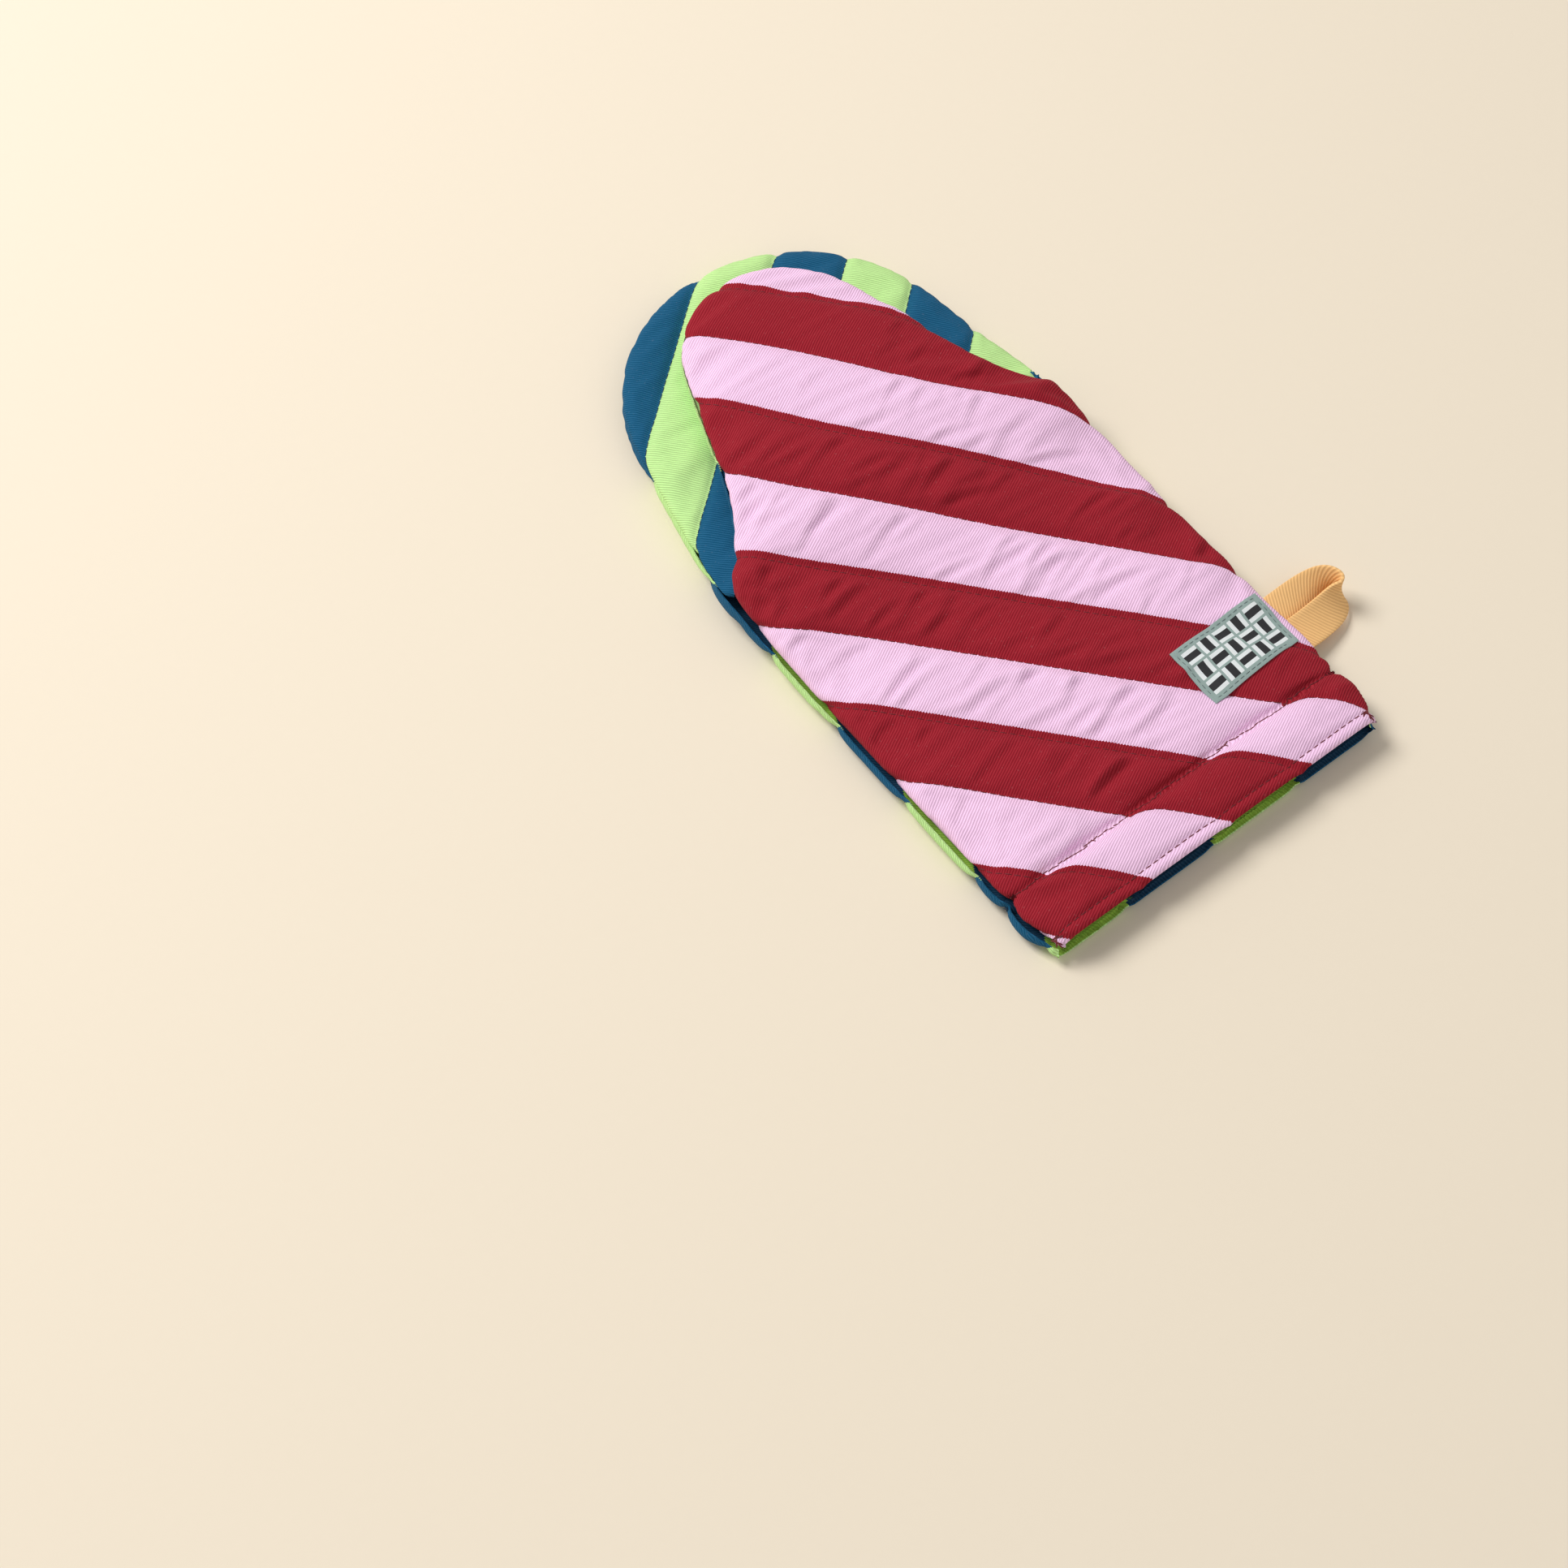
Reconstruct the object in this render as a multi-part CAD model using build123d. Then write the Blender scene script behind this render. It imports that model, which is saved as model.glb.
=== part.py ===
"""A padded cotton oven mitt whose thumb opens against its fingers.

The mitt lies flat on its finger side. X runs across the cuff, Y from the cuff to the fingertips and Z
up, out of the thumb side. It is a bag of quilted panels: the finger panel underneath, the thumb panel on
top, and between them, past the crotch, a palm gusset that is folded in two. Each panel is an outer
cloth, a batting and a lining. Seam allowances close the sides. The panels are cut at the wrist and at
the thumb hinge, so that the hand and the thumb can each turn as one body.
"""

from build123d import *
import math
import os

os.makedirs("parts", exist_ok=True)

# Plan of the mitt, measured from the middle of the cuff edge.
HALF_WIDTH = 79.0
HALF_CUFF = 75.0
CUFF_TAPER = 14.0
SHOULDER_LEFT = 186.0
SHOULDER_RIGHT = 198.0
FINGERTIP = (4.0, 241.0)
FINGERTIP_RADIUS = 69.5
THUMBTIP = (5.0, 251.5)
THUMBTIP_RADIUS = 40.5
THUMB_LEFT_BEND, THUMB_LEFT_TOP = (-59.5, 200.0), (-47.5, 226.0)
THUMB_RIGHT_BEND, THUMB_RIGHT_TOP = (63.0, 200.0), (54.5, 226.0)
WRIST = 95.0
CROTCH = 180.0
LENGTH = FINGERTIP[1] + FINGERTIP_RADIUS

# The layers of a panel, and the room inside a pocket.
CLOTH = 0.7
BATTING = 3.1
LINING = 0.7
PANEL = CLOTH + BATTING + LINING
POCKET = 5.6
JOINT_GAP = 0.6
HEM_DEPTH = 8.0

# Heights, from the surface that the mitt lies on.
FINGER_TOP = 2 * PANEL + POCKET
THUMB_BOTTOM = FINGER_TOP + JOINT_GAP
THUMB_TOP = THUMB_BOTTOM + 2 * PANEL + POCKET
SLOPE_POINTS = [(-30, 15.6), (0, 16.2), (60, 17.8), (95, 19.2), (125, 21.4), (150, 24.6), (180, THUMB_TOP)]
SLOPE_AT_CUFF = 0.02

# Quilting and stitching. Each panel's rows have an angle to the cuff and an offset from its middle.
STRIPE = 27.6
THUMB_ROWS = (-48.0, -0.5)
FINGER_ROWS = (44.0, 57.0)
GUSSET_ROWS = (40.0, 95.6)
THREAD_WIDTH = 0.6
THREAD_DEPTH = 0.35
STITCH_INSET = 3.0
CUFF_STITCH = 4.5
CUFF_QUILTING = 25.0
BAR_TACK = (1.2, 7.0, 0.4)
BAR_TACK_INSET = 3.0

# The woven label, by the seam on the thumb side.
LABEL_X = (31.5, 74.7)
LABEL_Y = (39.5, 65.0)
LABEL_THICKNESS = 0.45
LABEL_STITCH_INSET = 1.6

# The hanging loop, a tape with both ends in the side seam.
LOOP_Y = 50.0
LOOP_HEIGHT = 8.0
LOOP_REACH = 25.0
LOOP_TAPE = 12.5
LOOP_THICKNESS = 1.4
LOOP_END_RADIUS = 6.5
LOOP_ROOT_GAP = 0.4

# The origin is under the middle of the whole mitt, loop included.
ORIGIN = ((LOOP_REACH + LOOP_ROOT_GAP) / 2, LENGTH / 2)
FAR = 400.0
BELOW_CUFF = -30.0

# Each layer's depth from the panel's outer face.
LAYERS = {
    "cloth": (0.0, CLOTH),
    "batting": (CLOTH, CLOTH + BATTING),
    "lining": (CLOTH + BATTING, PANEL),
}
CUFF_SPAN = (0.0, WRIST - JOINT_GAP / 2)
PALM_SPAN = (WRIST + JOINT_GAP / 2, CROTCH)
HAND_SPAN = (WRIST + JOINT_GAP / 2, FAR)
FINGER_SPAN = (CROTCH, FAR)
THUMB_SPAN = (CROTCH + JOINT_GAP, FAR)


def slab(x=(-FAR, FAR), y=(-FAR, FAR), z=(-FAR, FAR)):
    """A box between limits on each axis."""
    size = [high - low for low, high in (x, y, z)]
    middle = [(high + low) / 2 for low, high in (x, y, z)]
    return Pos(*middle) * Box(*size)


def prism(outline, low, high):
    """A flat outline raised between two heights."""
    return Pos(0, 0, low) * extrude(outline, amount=high - low, dir=(0, 0, 1))


def touch_point(corner, centre, radius, turn):
    """Where a line from a corner touches a circle, on the side that turn (1 or -1) names."""
    dx, dy = corner[0] - centre[0], corner[1] - centre[1]
    angle = math.atan2(dy, dx) + turn * math.acos(radius / math.hypot(dx, dy))
    return (centre[0] + radius * math.cos(angle), centre[1] + radius * math.sin(angle))


def round_end(left, right, centre, radius):
    """The tangent lines and arc from a left corner over a round tip to a right corner."""
    left_touch = touch_point(left, centre, radius, -1)
    right_touch = touch_point(right, centre, radius, 1)
    tip = (centre[0], centre[1] + radius)
    return [Line(left, left_touch), ThreePointArc(left_touch, tip, right_touch), Line(right_touch, right)]


def hand_outline(inset=0.0):
    """The finger panel's outline, inset all round. It runs on below the cuff edge, where it is cut."""
    left, right = (-HALF_WIDTH, SHOULDER_LEFT), (HALF_WIDTH, SHOULDER_RIGHT)
    half_low = HALF_CUFF + (HALF_WIDTH - HALF_CUFF) * BELOW_CUFF / CUFF_TAPER
    cuff = Polyline(
        right,
        (HALF_WIDTH, CUFF_TAPER),
        (half_low, BELOW_CUFF),
        (-half_low, BELOW_CUFF),
        (-HALF_WIDTH, CUFF_TAPER),
        left,
    )
    outline = make_face(Wire([*round_end(left, right, FINGERTIP, FINGERTIP_RADIUS), *cuff.edges()]))
    return offset(outline, amount=-inset) if inset else outline


def thumb_outline(inset=0.0):
    """The thumb's outline, full width at the crotch and tapering to a round tip, inset all round."""
    root = CROTCH - 40
    left, right = (-HALF_WIDTH, CROTCH), (HALF_WIDTH, CROTCH)
    left_side = ThreePointArc(left, THUMB_LEFT_BEND, THUMB_LEFT_TOP)
    right_side = ThreePointArc(THUMB_RIGHT_TOP, THUMB_RIGHT_BEND, right)
    tip = round_end(THUMB_LEFT_TOP, THUMB_RIGHT_TOP, THUMBTIP, THUMBTIP_RADIUS)
    back = Polyline(right, (HALF_WIDTH, root), (-HALF_WIDTH, root), left)
    outline = make_face(Wire([left_side, *tip, right_side, *back.edges()]))
    return offset(outline, amount=-inset) if inset else outline


def below_top(depth):
    """Everything lower than a depth under the thumb panel's outer face, which is level past the crotch."""
    slope = [(0, y, z) for y, z in SLOPE_POINTS]
    curve = Spline(slope, tangents=[(0, 1, SLOPE_AT_CUFF), (0, 1, 0)])
    rest = Polyline(slope[-1], (0, FAR, THUMB_TOP), (0, FAR, -60), (0, BELOW_CUFF, -60), slope[0])
    side = make_face(Wire([curve, *rest.edges()]))
    return Pos(0, 0, -depth) * extrude(side, amount=2 * HALF_WIDTH, dir=(1, 0, 0), both=True)


def within(span):
    """The space between two distances from the cuff."""
    return slab(y=span)


def quilting(span, rows):
    """Upright strips, one for each line of quilting over a span, at the rows' angle and offset."""
    angle, offset = rows
    strips = []
    count = int(FAR / STRIPE)
    for row in range(-count, count + 1):
        strip = Pos(0, offset + row * STRIPE, 0) * Box(3 * FAR, THREAD_WIDTH, FAR)
        strips.append(Rot(0, 0, angle) * strip)
    return Compound(strips) & within(span)


def cuff_stitching():
    """Upright strips for the two lines of stitching along the cuff."""
    half = THREAD_WIDTH / 2
    return Compound([slab(y=(y - half, y + half)) for y in (CUFF_STITCH, CUFF_QUILTING)])


def separate(shape):
    """A shape's solids as one compound, without crumbs."""
    return Compound([solid for solid in shape.solids() if solid.volume > 0.05])


def flat_panel(name, outline, outer, inner, parts):
    """A flat panel's layers between two heights, cut into its parts, with the outer face at outer."""
    step = 1 if inner > outer else -1
    made = {}
    for layer, (near, far) in LAYERS.items():
        low, high = sorted((outer + step * near, outer + step * far))
        sheet = prism(outline, low, high)
        for part, span in parts.items():
            start = HEM_DEPTH if span[0] == 0 and layer == "batting" else span[0]
            made[f"{name}_{layer}_{part}"] = sheet & within((start, span[1]))
    return made


def thumb_panel():
    """The thumb panel's layers, which follow the mitt's sloping top."""
    wide, tapered = prism(hand_outline(), 0, 60), prism(thumb_outline(), 0, 60)
    parts = {"cuff": (wide, CUFF_SPAN), "palm": (wide, PALM_SPAN), "tip": (tapered, THUMB_SPAN)}
    made = {}
    for layer, (near, far) in LAYERS.items():
        sheet = below_top(near) - below_top(far)
        for part, (shape, span) in parts.items():
            start = HEM_DEPTH if span[0] == 0 and layer == "batting" else span[0]
            made[f"thumb_panel_{layer}_{part}"] = sheet & shape & within((start, span[1]))
    return made


def gusset_fold():
    """The fold at the crotch, where the palm gusset turns back from the fingers to the thumb."""
    inside = prism(hand_outline(PANEL), FINGER_TOP - PANEL, THUMB_BOTTOM + PANEL)
    made = {}
    for layer, (near, far) in LAYERS.items():
        made[f"gusset_fold_{layer}"] = inside & within((CROTCH - far, CROTCH - near))
    return made


def side_seams():
    """The seam allowances of cloth and lining that close the bag's sides and its two pockets."""
    wall = prism(hand_outline(), PANEL, 60) - prism(hand_outline(PANEL), PANEL - 1, 61)
    sides = wall & below_top(PANEL)
    made = {}
    for part, span in {"cuff": CUFF_SPAN, "palm": PALM_SPAN}.items():
        made[f"side_seam_left_{part}"] = sides & within(span) & slab(x=(-FAR, 0))
        made[f"side_seam_right_{part}"] = sides & within(span) & slab(x=(0, FAR))
    made["finger_seam"] = wall & within(FINGER_SPAN) & slab(z=(PANEL, FINGER_TOP - PANEL))
    low, high = THUMB_BOTTOM + PANEL, THUMB_TOP - PANEL
    thumb = prism(thumb_outline(), low, high) - prism(thumb_outline(PANEL), low - 1, high + 1)
    made["thumb_seam"] = thumb & within(THUMB_SPAN)
    return made


def cuff_hems():
    """The turned edge at the cuff, where folded cloth takes the place of the batting."""
    edge = within((0, HEM_DEPTH))
    finger_side = prism(hand_outline(), CLOTH, CLOTH + BATTING) & edge
    thumb_side = (below_top(CLOTH) - below_top(CLOTH + BATTING)) & prism(hand_outline(), 0, 60) & edge
    return {"cuff_hem_finger_side": finger_side, "cuff_hem_thumb_side": thumb_side}


def sew(made, name, cloth, region, lines):
    """Lays thread in grooves of a cloth, and adds the thread to the pieces under its own name."""
    thread = separate(made[cloth] & region & lines)
    made[cloth] = made[cloth] - thread
    made[name] = thread


def sew_panels(made):
    """The quilting of every panel and the stitching along the cuff."""
    hand, thumb = hand_outline(STITCH_INSET), thumb_outline(STITCH_INSET)
    top = prism(hand, 0, 60) - below_top(THREAD_DEPTH)
    tip = prism(thumb, 0, 60) - below_top(THREAD_DEPTH)
    under = prism(hand, 0, THREAD_DEPTH)
    quilted_cuff = (CUFF_QUILTING + 2 * THREAD_WIDTH, CUFF_SPAN[1])
    tapered_span = (THUMB_SPAN[0] + STITCH_INSET, FAR)
    finger_face = prism(hand, FINGER_TOP - THREAD_DEPTH, FINGER_TOP)
    thumb_face = prism(thumb, THUMB_BOTTOM, THUMB_BOTTOM + THREAD_DEPTH)
    gusset = quilting(tapered_span, GUSSET_ROWS)
    jobs = [
        ("cuff_stitching_thumb_side", "thumb_panel_cloth_cuff", top, cuff_stitching()),
        ("cuff_stitching_finger_side", "finger_panel_cloth_cuff", under, cuff_stitching()),
        ("thumb_panel_quilting_cuff", "thumb_panel_cloth_cuff", top, quilting(quilted_cuff, THUMB_ROWS)),
        ("thumb_panel_quilting_palm", "thumb_panel_cloth_palm", top, quilting(PALM_SPAN, THUMB_ROWS)),
        ("thumb_panel_quilting_tip", "thumb_panel_cloth_tip", tip, quilting(THUMB_SPAN, THUMB_ROWS)),
        ("finger_panel_quilting_cuff", "finger_panel_cloth_cuff", under, quilting(quilted_cuff, FINGER_ROWS)),
        ("finger_panel_quilting_hand", "finger_panel_cloth_hand", under, quilting(HAND_SPAN, FINGER_ROWS)),
        ("gusset_quilting_finger_half", "gusset_finger_half_cloth_hand", finger_face, gusset),
        ("gusset_quilting_thumb_half", "gusset_thumb_half_cloth_tip", thumb_face, gusset),
    ]
    for name, cloth, region, lines in jobs:
        sew(made, name, cloth, region, lines)


def bar_tacks():
    """The short dense stitching that locks each end of the cuff's mouth."""
    width, length, height = BAR_TACK
    proud = below_top(-height) - below_top(0)
    made = {}
    for side, sign in (("left", -1), ("right", 1)):
        x = sign * (HALF_CUFF - BAR_TACK_INSET)
        place = slab(x=(x - width / 2, x + width / 2), y=(1, 1 + length), z=(0, 60))
        made[f"bar_tack_{side}"] = proud & place
    return made


def label():
    """The woven label on the thumb panel's face, and the thread along its two long edges."""
    width, depth = THREAD_WIDTH / 2, LABEL_THICKNESS / 2
    woven = (below_top(-LABEL_THICKNESS) - below_top(0)) & slab(x=LABEL_X, y=LABEL_Y, z=(0, 60))
    groove = slab(x=(LABEL_X[0] + 1, LABEL_X[1] - 1), z=(0, 60)) - below_top(-depth)
    rows = (LABEL_Y[0] + LABEL_STITCH_INSET, LABEL_Y[1] - LABEL_STITCH_INSET)
    lines = Compound([slab(y=(y - width, y + width)) for y in rows])
    thread = separate(woven & groove & lines)
    return {"label": woven - thread, "label_stitching": thread}


def hanging_loop():
    """The tape loop: two strands that leave the seam flat and turn on edge, joined by a half ring."""
    root = HALF_WIDTH + LOOP_ROOT_GAP
    end = root + LOOP_REACH - LOOP_END_RADIUS - LOOP_THICKNESS / 2
    outer = Circle(LOOP_END_RADIUS + LOOP_THICKNESS / 2) - Circle(LOOP_END_RADIUS - LOOP_THICKNESS / 2)
    ring = Pos(end, LOOP_Y, LOOP_HEIGHT - LOOP_TAPE / 2) * extrude(outer, amount=LOOP_TAPE)
    loop = ring & slab(x=(end, FAR))
    for side in (-1, 1):
        sections = []
        for share in (0.0, 0.35, 0.7, 1.0):
            place = (root + share * (end - root), LOOP_Y + side * LOOP_END_RADIUS, LOOP_HEIGHT)
            across = Plane(origin=place, x_dir=(0, 1, 0), z_dir=(1, 0, 0)) * Rot(0, 0, 90 * side * share)
            sections.append(across * Rectangle(LOOP_TAPE, LOOP_THICKNESS))
        loop = loop + loft(sections, ruled=True)
    return {"hanging_loop": loop}


def build():
    """Every piece by name, in the mitt's own frame, with the origin under its middle."""
    hand, thumb = hand_outline(), thumb_outline()
    made = {}
    made |= flat_panel("finger_panel", hand, 0.0, PANEL, {"cuff": CUFF_SPAN, "hand": HAND_SPAN})
    made |= flat_panel("gusset_finger_half", hand, FINGER_TOP, FINGER_TOP - PANEL, {"hand": FINGER_SPAN})
    made |= flat_panel("gusset_thumb_half", thumb, THUMB_BOTTOM, THUMB_BOTTOM + PANEL, {"tip": THUMB_SPAN})
    made |= thumb_panel()
    made |= gusset_fold()
    made |= side_seams()
    made |= cuff_hems()
    sew_panels(made)
    made |= bar_tacks()
    made |= label()
    made |= hanging_loop()
    return {name: Pos(-ORIGIN[0], -ORIGIN[1], 0) * piece for name, piece in made.items()}


for name, piece in build().items():
    export_step(piece, f"parts/{name}.step")
    print(f"{name}: {len(piece.solids())} solids, {piece.volume:.1f} mm3")
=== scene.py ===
"""A quilted cotton oven mitt lying on a pale table with its thumb side up.

Sizes are in millimetres on the mitt's own plan, measured from the middle of the cuff edge, and turn into
metres in the shared frame as each mesh is made.
"""

import logging
import math
from dataclasses import dataclass, field
from enum import Enum
from typing import Callable, Optional

import bpy
import numpy as np
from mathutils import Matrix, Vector
from mathutils.bvhtree import BVHTree


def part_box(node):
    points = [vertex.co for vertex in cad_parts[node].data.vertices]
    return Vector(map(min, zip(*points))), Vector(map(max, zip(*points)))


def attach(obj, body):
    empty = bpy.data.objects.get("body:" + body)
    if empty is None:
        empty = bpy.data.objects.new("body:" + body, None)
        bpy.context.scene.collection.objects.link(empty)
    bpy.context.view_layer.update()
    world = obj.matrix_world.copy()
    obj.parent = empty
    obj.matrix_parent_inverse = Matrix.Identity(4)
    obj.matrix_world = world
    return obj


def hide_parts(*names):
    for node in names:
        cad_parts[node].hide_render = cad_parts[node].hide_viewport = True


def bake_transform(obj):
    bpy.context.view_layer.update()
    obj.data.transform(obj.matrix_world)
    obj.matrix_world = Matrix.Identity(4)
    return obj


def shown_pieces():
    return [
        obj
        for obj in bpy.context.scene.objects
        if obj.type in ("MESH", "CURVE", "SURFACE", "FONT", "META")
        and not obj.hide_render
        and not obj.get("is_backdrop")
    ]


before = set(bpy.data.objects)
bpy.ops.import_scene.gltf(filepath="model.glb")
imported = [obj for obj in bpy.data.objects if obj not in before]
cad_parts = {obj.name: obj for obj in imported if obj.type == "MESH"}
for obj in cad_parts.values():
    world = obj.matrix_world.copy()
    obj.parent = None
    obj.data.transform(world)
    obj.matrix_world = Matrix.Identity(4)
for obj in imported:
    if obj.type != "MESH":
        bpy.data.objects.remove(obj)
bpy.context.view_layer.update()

logging.basicConfig(level=logging.INFO, format="%(message)s")
LOG = logging.getLogger("mitt")

MILLIMETRE = 0.001
HALF_WIDTH = 79.0
CROTCH = 180.0
CUFF_STITCH = 4.5
CUFF_QUILTING = 25.0
STRIPE = 27.6
CELLS_IN_STRIPE = 12
CELL = STRIPE / CELLS_IN_STRIPE
SHELL = 4.2
SAMPLES = 60

_finger_low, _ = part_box("finger_panel_cloth_cuff")
ORIGIN = np.array([-HALF_WIDTH - _finger_low.x / MILLIMETRE, -_finger_low.y / MILLIMETRE, 0.0])


def to_frame(points: np.ndarray) -> np.ndarray:
    """Plan points in millimetres as frame points in metres."""
    return (np.asarray(points, float) - ORIGIN) * MILLIMETRE


def to_plan(points: np.ndarray) -> np.ndarray:
    """Frame points in metres as plan points in millimetres."""
    return np.asarray(points, float) / MILLIMETRE + ORIGIN


def gather(items: bpy.types.bpy_prop_collection, name: str, width: int = 1, kind: type = float) -> np.ndarray:
    """One property of everything in a collection, as an array.

    Args:
        items: the vertices, edges or the like.
        name: the property's name.
        width: how many numbers it has for each item.
        kind: the numbers' type.

    Returns:
        The numbers, one row for each item where there are more than one.
    """
    values = np.zeros(len(items) * width, kind)
    items.foreach_get(name, values)
    return values.reshape(-1, width) if width > 1 else values


def read_points(mesh: bpy.types.Mesh) -> np.ndarray:
    """A mesh's vertices as plan points in millimetres."""
    return to_plan(gather(mesh.vertices, "co", 3))


def write_points(mesh: bpy.types.Mesh, points: np.ndarray) -> None:
    """Put plan points in millimetres into a mesh's vertices."""
    mesh.vertices.foreach_set("co", to_frame(points).ravel())
    mesh.update()


def read_normals(mesh: bpy.types.Mesh) -> np.ndarray:
    """A mesh's vertex normals."""
    return gather(mesh.vertex_normals, "vector", 3)


def read_values(mesh: bpy.types.Mesh, name: str) -> np.ndarray:
    """One float attribute of a mesh's vertices."""
    return gather(mesh.attributes[name].data, "value")


def write_values(mesh: bpy.types.Mesh, name: str, values: np.ndarray) -> None:
    """Put one float attribute on a mesh's vertices."""
    attribute = mesh.attributes.get(name) or mesh.attributes.new(name, "FLOAT", "POINT")
    attribute.data.foreach_set("value", np.asarray(values, np.float32))


def write_uv(mesh: bpy.types.Mesh, uv: np.ndarray) -> None:
    """Put one UV point for each vertex into a mesh's UV map.

    Args:
        mesh: the mesh.
        uv: the UV points, one row for each vertex.
    """
    corners = gather(mesh.loops, "vertex_index", kind=np.int32)
    layer = mesh.uv_layers.get("UVMap") or mesh.uv_layers.new(name="UVMap")
    layer.uv.foreach_set("vector", uv[corners].astype(np.float32).ravel())


def smooth(value: np.ndarray, low: float, high: float) -> np.ndarray:
    """A smooth step from 0 at low to 1 at high."""
    t = np.clip((value - low) / (high - low), 0, 1)
    return t * t * (3 - 2 * t)


def only(piece: bpy.types.Object) -> None:
    """Select one object alone and make it the active one.

    Args:
        piece: the object.
    """
    bpy.ops.object.select_all(action="DESELECT")
    piece.select_set(True)
    bpy.context.view_layer.objects.active = piece


def new_grid(name: str, columns: int, rows: int, size: float = 1.0, middle: tuple = (0, 0, 0),
             turn: float = 0.0) -> bpy.types.Object:
    """Add a square grid whose object sits at the origin.

    Args:
        name: the new piece's name.
        columns: how many faces it has along X.
        rows: how many faces it has along Y.
        size: its width.
        middle: the frame point of its middle.
        turn: its turn about Z, in degrees.

    Returns:
        The new piece.
    """
    bpy.ops.object.select_all(action="DESELECT")
    bpy.ops.mesh.primitive_grid_add(
        x_subdivisions=columns, y_subdivisions=rows, size=size, location=middle,
        rotation=(0, 0, math.radians(turn)),
    )
    piece = bpy.context.object
    piece.name = piece.data.name = name
    bpy.ops.object.transform_apply(location=True, rotation=True, scale=True)
    return piece


def edit_whole(piece: bpy.types.Object, operation: Callable, **settings: object) -> None:
    """Run one edit-mode operation on the whole of a piece.

    Args:
        piece: the mesh object.
        operation: the operator.
        **settings: the operator's own settings.
    """
    only(piece)
    bpy.ops.object.mode_set(mode="EDIT")
    bpy.ops.mesh.select_mode(type="VERT")
    bpy.ops.mesh.select_all(action="SELECT")
    operation(**settings)
    bpy.ops.object.mode_set(mode="OBJECT")


def keep_faces(piece: bpy.types.Object, keep: np.ndarray) -> None:
    """Delete every face of a piece that isn't kept.

    Args:
        piece: the mesh object to trim.
        keep: one truth value for each face.
    """
    only(piece)
    mesh = piece.data
    bpy.ops.object.mode_set(mode="EDIT")
    bpy.ops.mesh.select_mode(type="FACE")
    bpy.ops.mesh.select_all(action="DESELECT")
    bpy.ops.object.mode_set(mode="OBJECT")
    mesh.polygons.foreach_set("select", ~keep)
    mesh.update()
    bpy.ops.object.mode_set(mode="EDIT")
    bpy.ops.mesh.delete(type="FACE")
    bpy.ops.object.mode_set(mode="OBJECT")


def cut(piece: bpy.types.Object, y: float, towards: int = 1, clear: bool = False, fill: bool = False) -> None:
    """Bisect a piece by a plane across the mitt, and clear what lies behind it if asked.

    Args:
        piece: the mesh object to cut.
        y: the plane's distance from the cuff.
        towards: 1 where the plane faces the fingertips, and -1 where it faces the cuff.
        clear: whether what lies behind the plane is taken away.
        fill: whether the cut is closed with a face.
    """
    edit_whole(
        piece, bpy.ops.mesh.bisect, plane_co=tuple(to_frame(np.array([0.0, y, 0.0]))),
        plane_no=(0, towards, 0), use_fill=fill, clear_inner=clear, threshold=1e-7,
    )


def apply_modifier(piece: bpy.types.Object, kind: str, **settings: object) -> None:
    """Add a modifier to a piece, set it and apply it.

    Args:
        piece: the mesh object.
        kind: the modifier's type.
        **settings: values for the modifier's own properties.
    """
    only(piece)
    modifier = piece.modifiers.new(kind.title(), kind)
    for key, value in settings.items():
        setattr(modifier, key, value)
    bpy.ops.object.modifier_apply(modifier=modifier.name)


def soften(piece: bpy.types.Object) -> None:
    """Shade a piece smooth, except at its sharp rims."""
    only(piece)
    bpy.ops.object.shade_smooth_by_angle(angle=math.radians(50))


# ---------------------------------------------------------------------------------------------- outlines


def touch_point(corner: tuple, centre: tuple, radius: float, turn: int) -> tuple:
    """Where a line from a corner touches a circle.

    Args:
        corner: the plan point that the line starts at.
        centre: the circle's middle.
        radius: the circle's radius.
        turn: 1 or -1, the side that the line passes.

    Returns:
        The plan point of the touch.
    """
    dx, dy = corner[0] - centre[0], corner[1] - centre[1]
    angle = math.atan2(dy, dx) + turn * math.acos(radius / math.hypot(dx, dy))
    return (centre[0] + radius * math.cos(angle), centre[1] + radius * math.sin(angle))


def arc_through(start: tuple, middle: tuple, end: tuple, count: int) -> list:
    """Points on the circle through three points.

    Args:
        start: the first point.
        middle: a point between.
        end: the last point.
        count: how many points to give.

    Returns:
        The points, from the first to the last.
    """
    (ax, ay), (bx, by), (cx, cy) = start, middle, end
    d = 2 * (ax * (by - cy) + bx * (cy - ay) + cx * (ay - by))
    a2, b2, c2 = ax * ax + ay * ay, bx * bx + by * by, cx * cx + cy * cy
    ux = (a2 * (by - cy) + b2 * (cy - ay) + c2 * (ay - by)) / d
    uy = (a2 * (cx - bx) + b2 * (ax - cx) + c2 * (bx - ax)) / d
    radius = math.hypot(ax - ux, ay - uy)
    angles = np.unwrap([math.atan2(y - uy, x - ux) for x, y in (start, middle, end)])
    turns = np.linspace(angles[0], angles[2], count)
    return [(ux + radius * math.cos(t), uy + radius * math.sin(t)) for t in turns]


def round_tip(left: tuple, right: tuple, centre: tuple, radius: float) -> list:
    """Plan points from a left corner over a round tip to a right corner.

    Args:
        left: the left corner.
        right: the right corner.
        centre: the tip's middle.
        radius: the tip's radius.

    Returns:
        The corners with the tip's points between them.
    """
    first, last = touch_point(left, centre, radius, -1), touch_point(right, centre, radius, 1)
    tip = (centre[0], centre[1] + radius)
    return [left, *arc_through(first, tip, last, SAMPLES), right]


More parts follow.
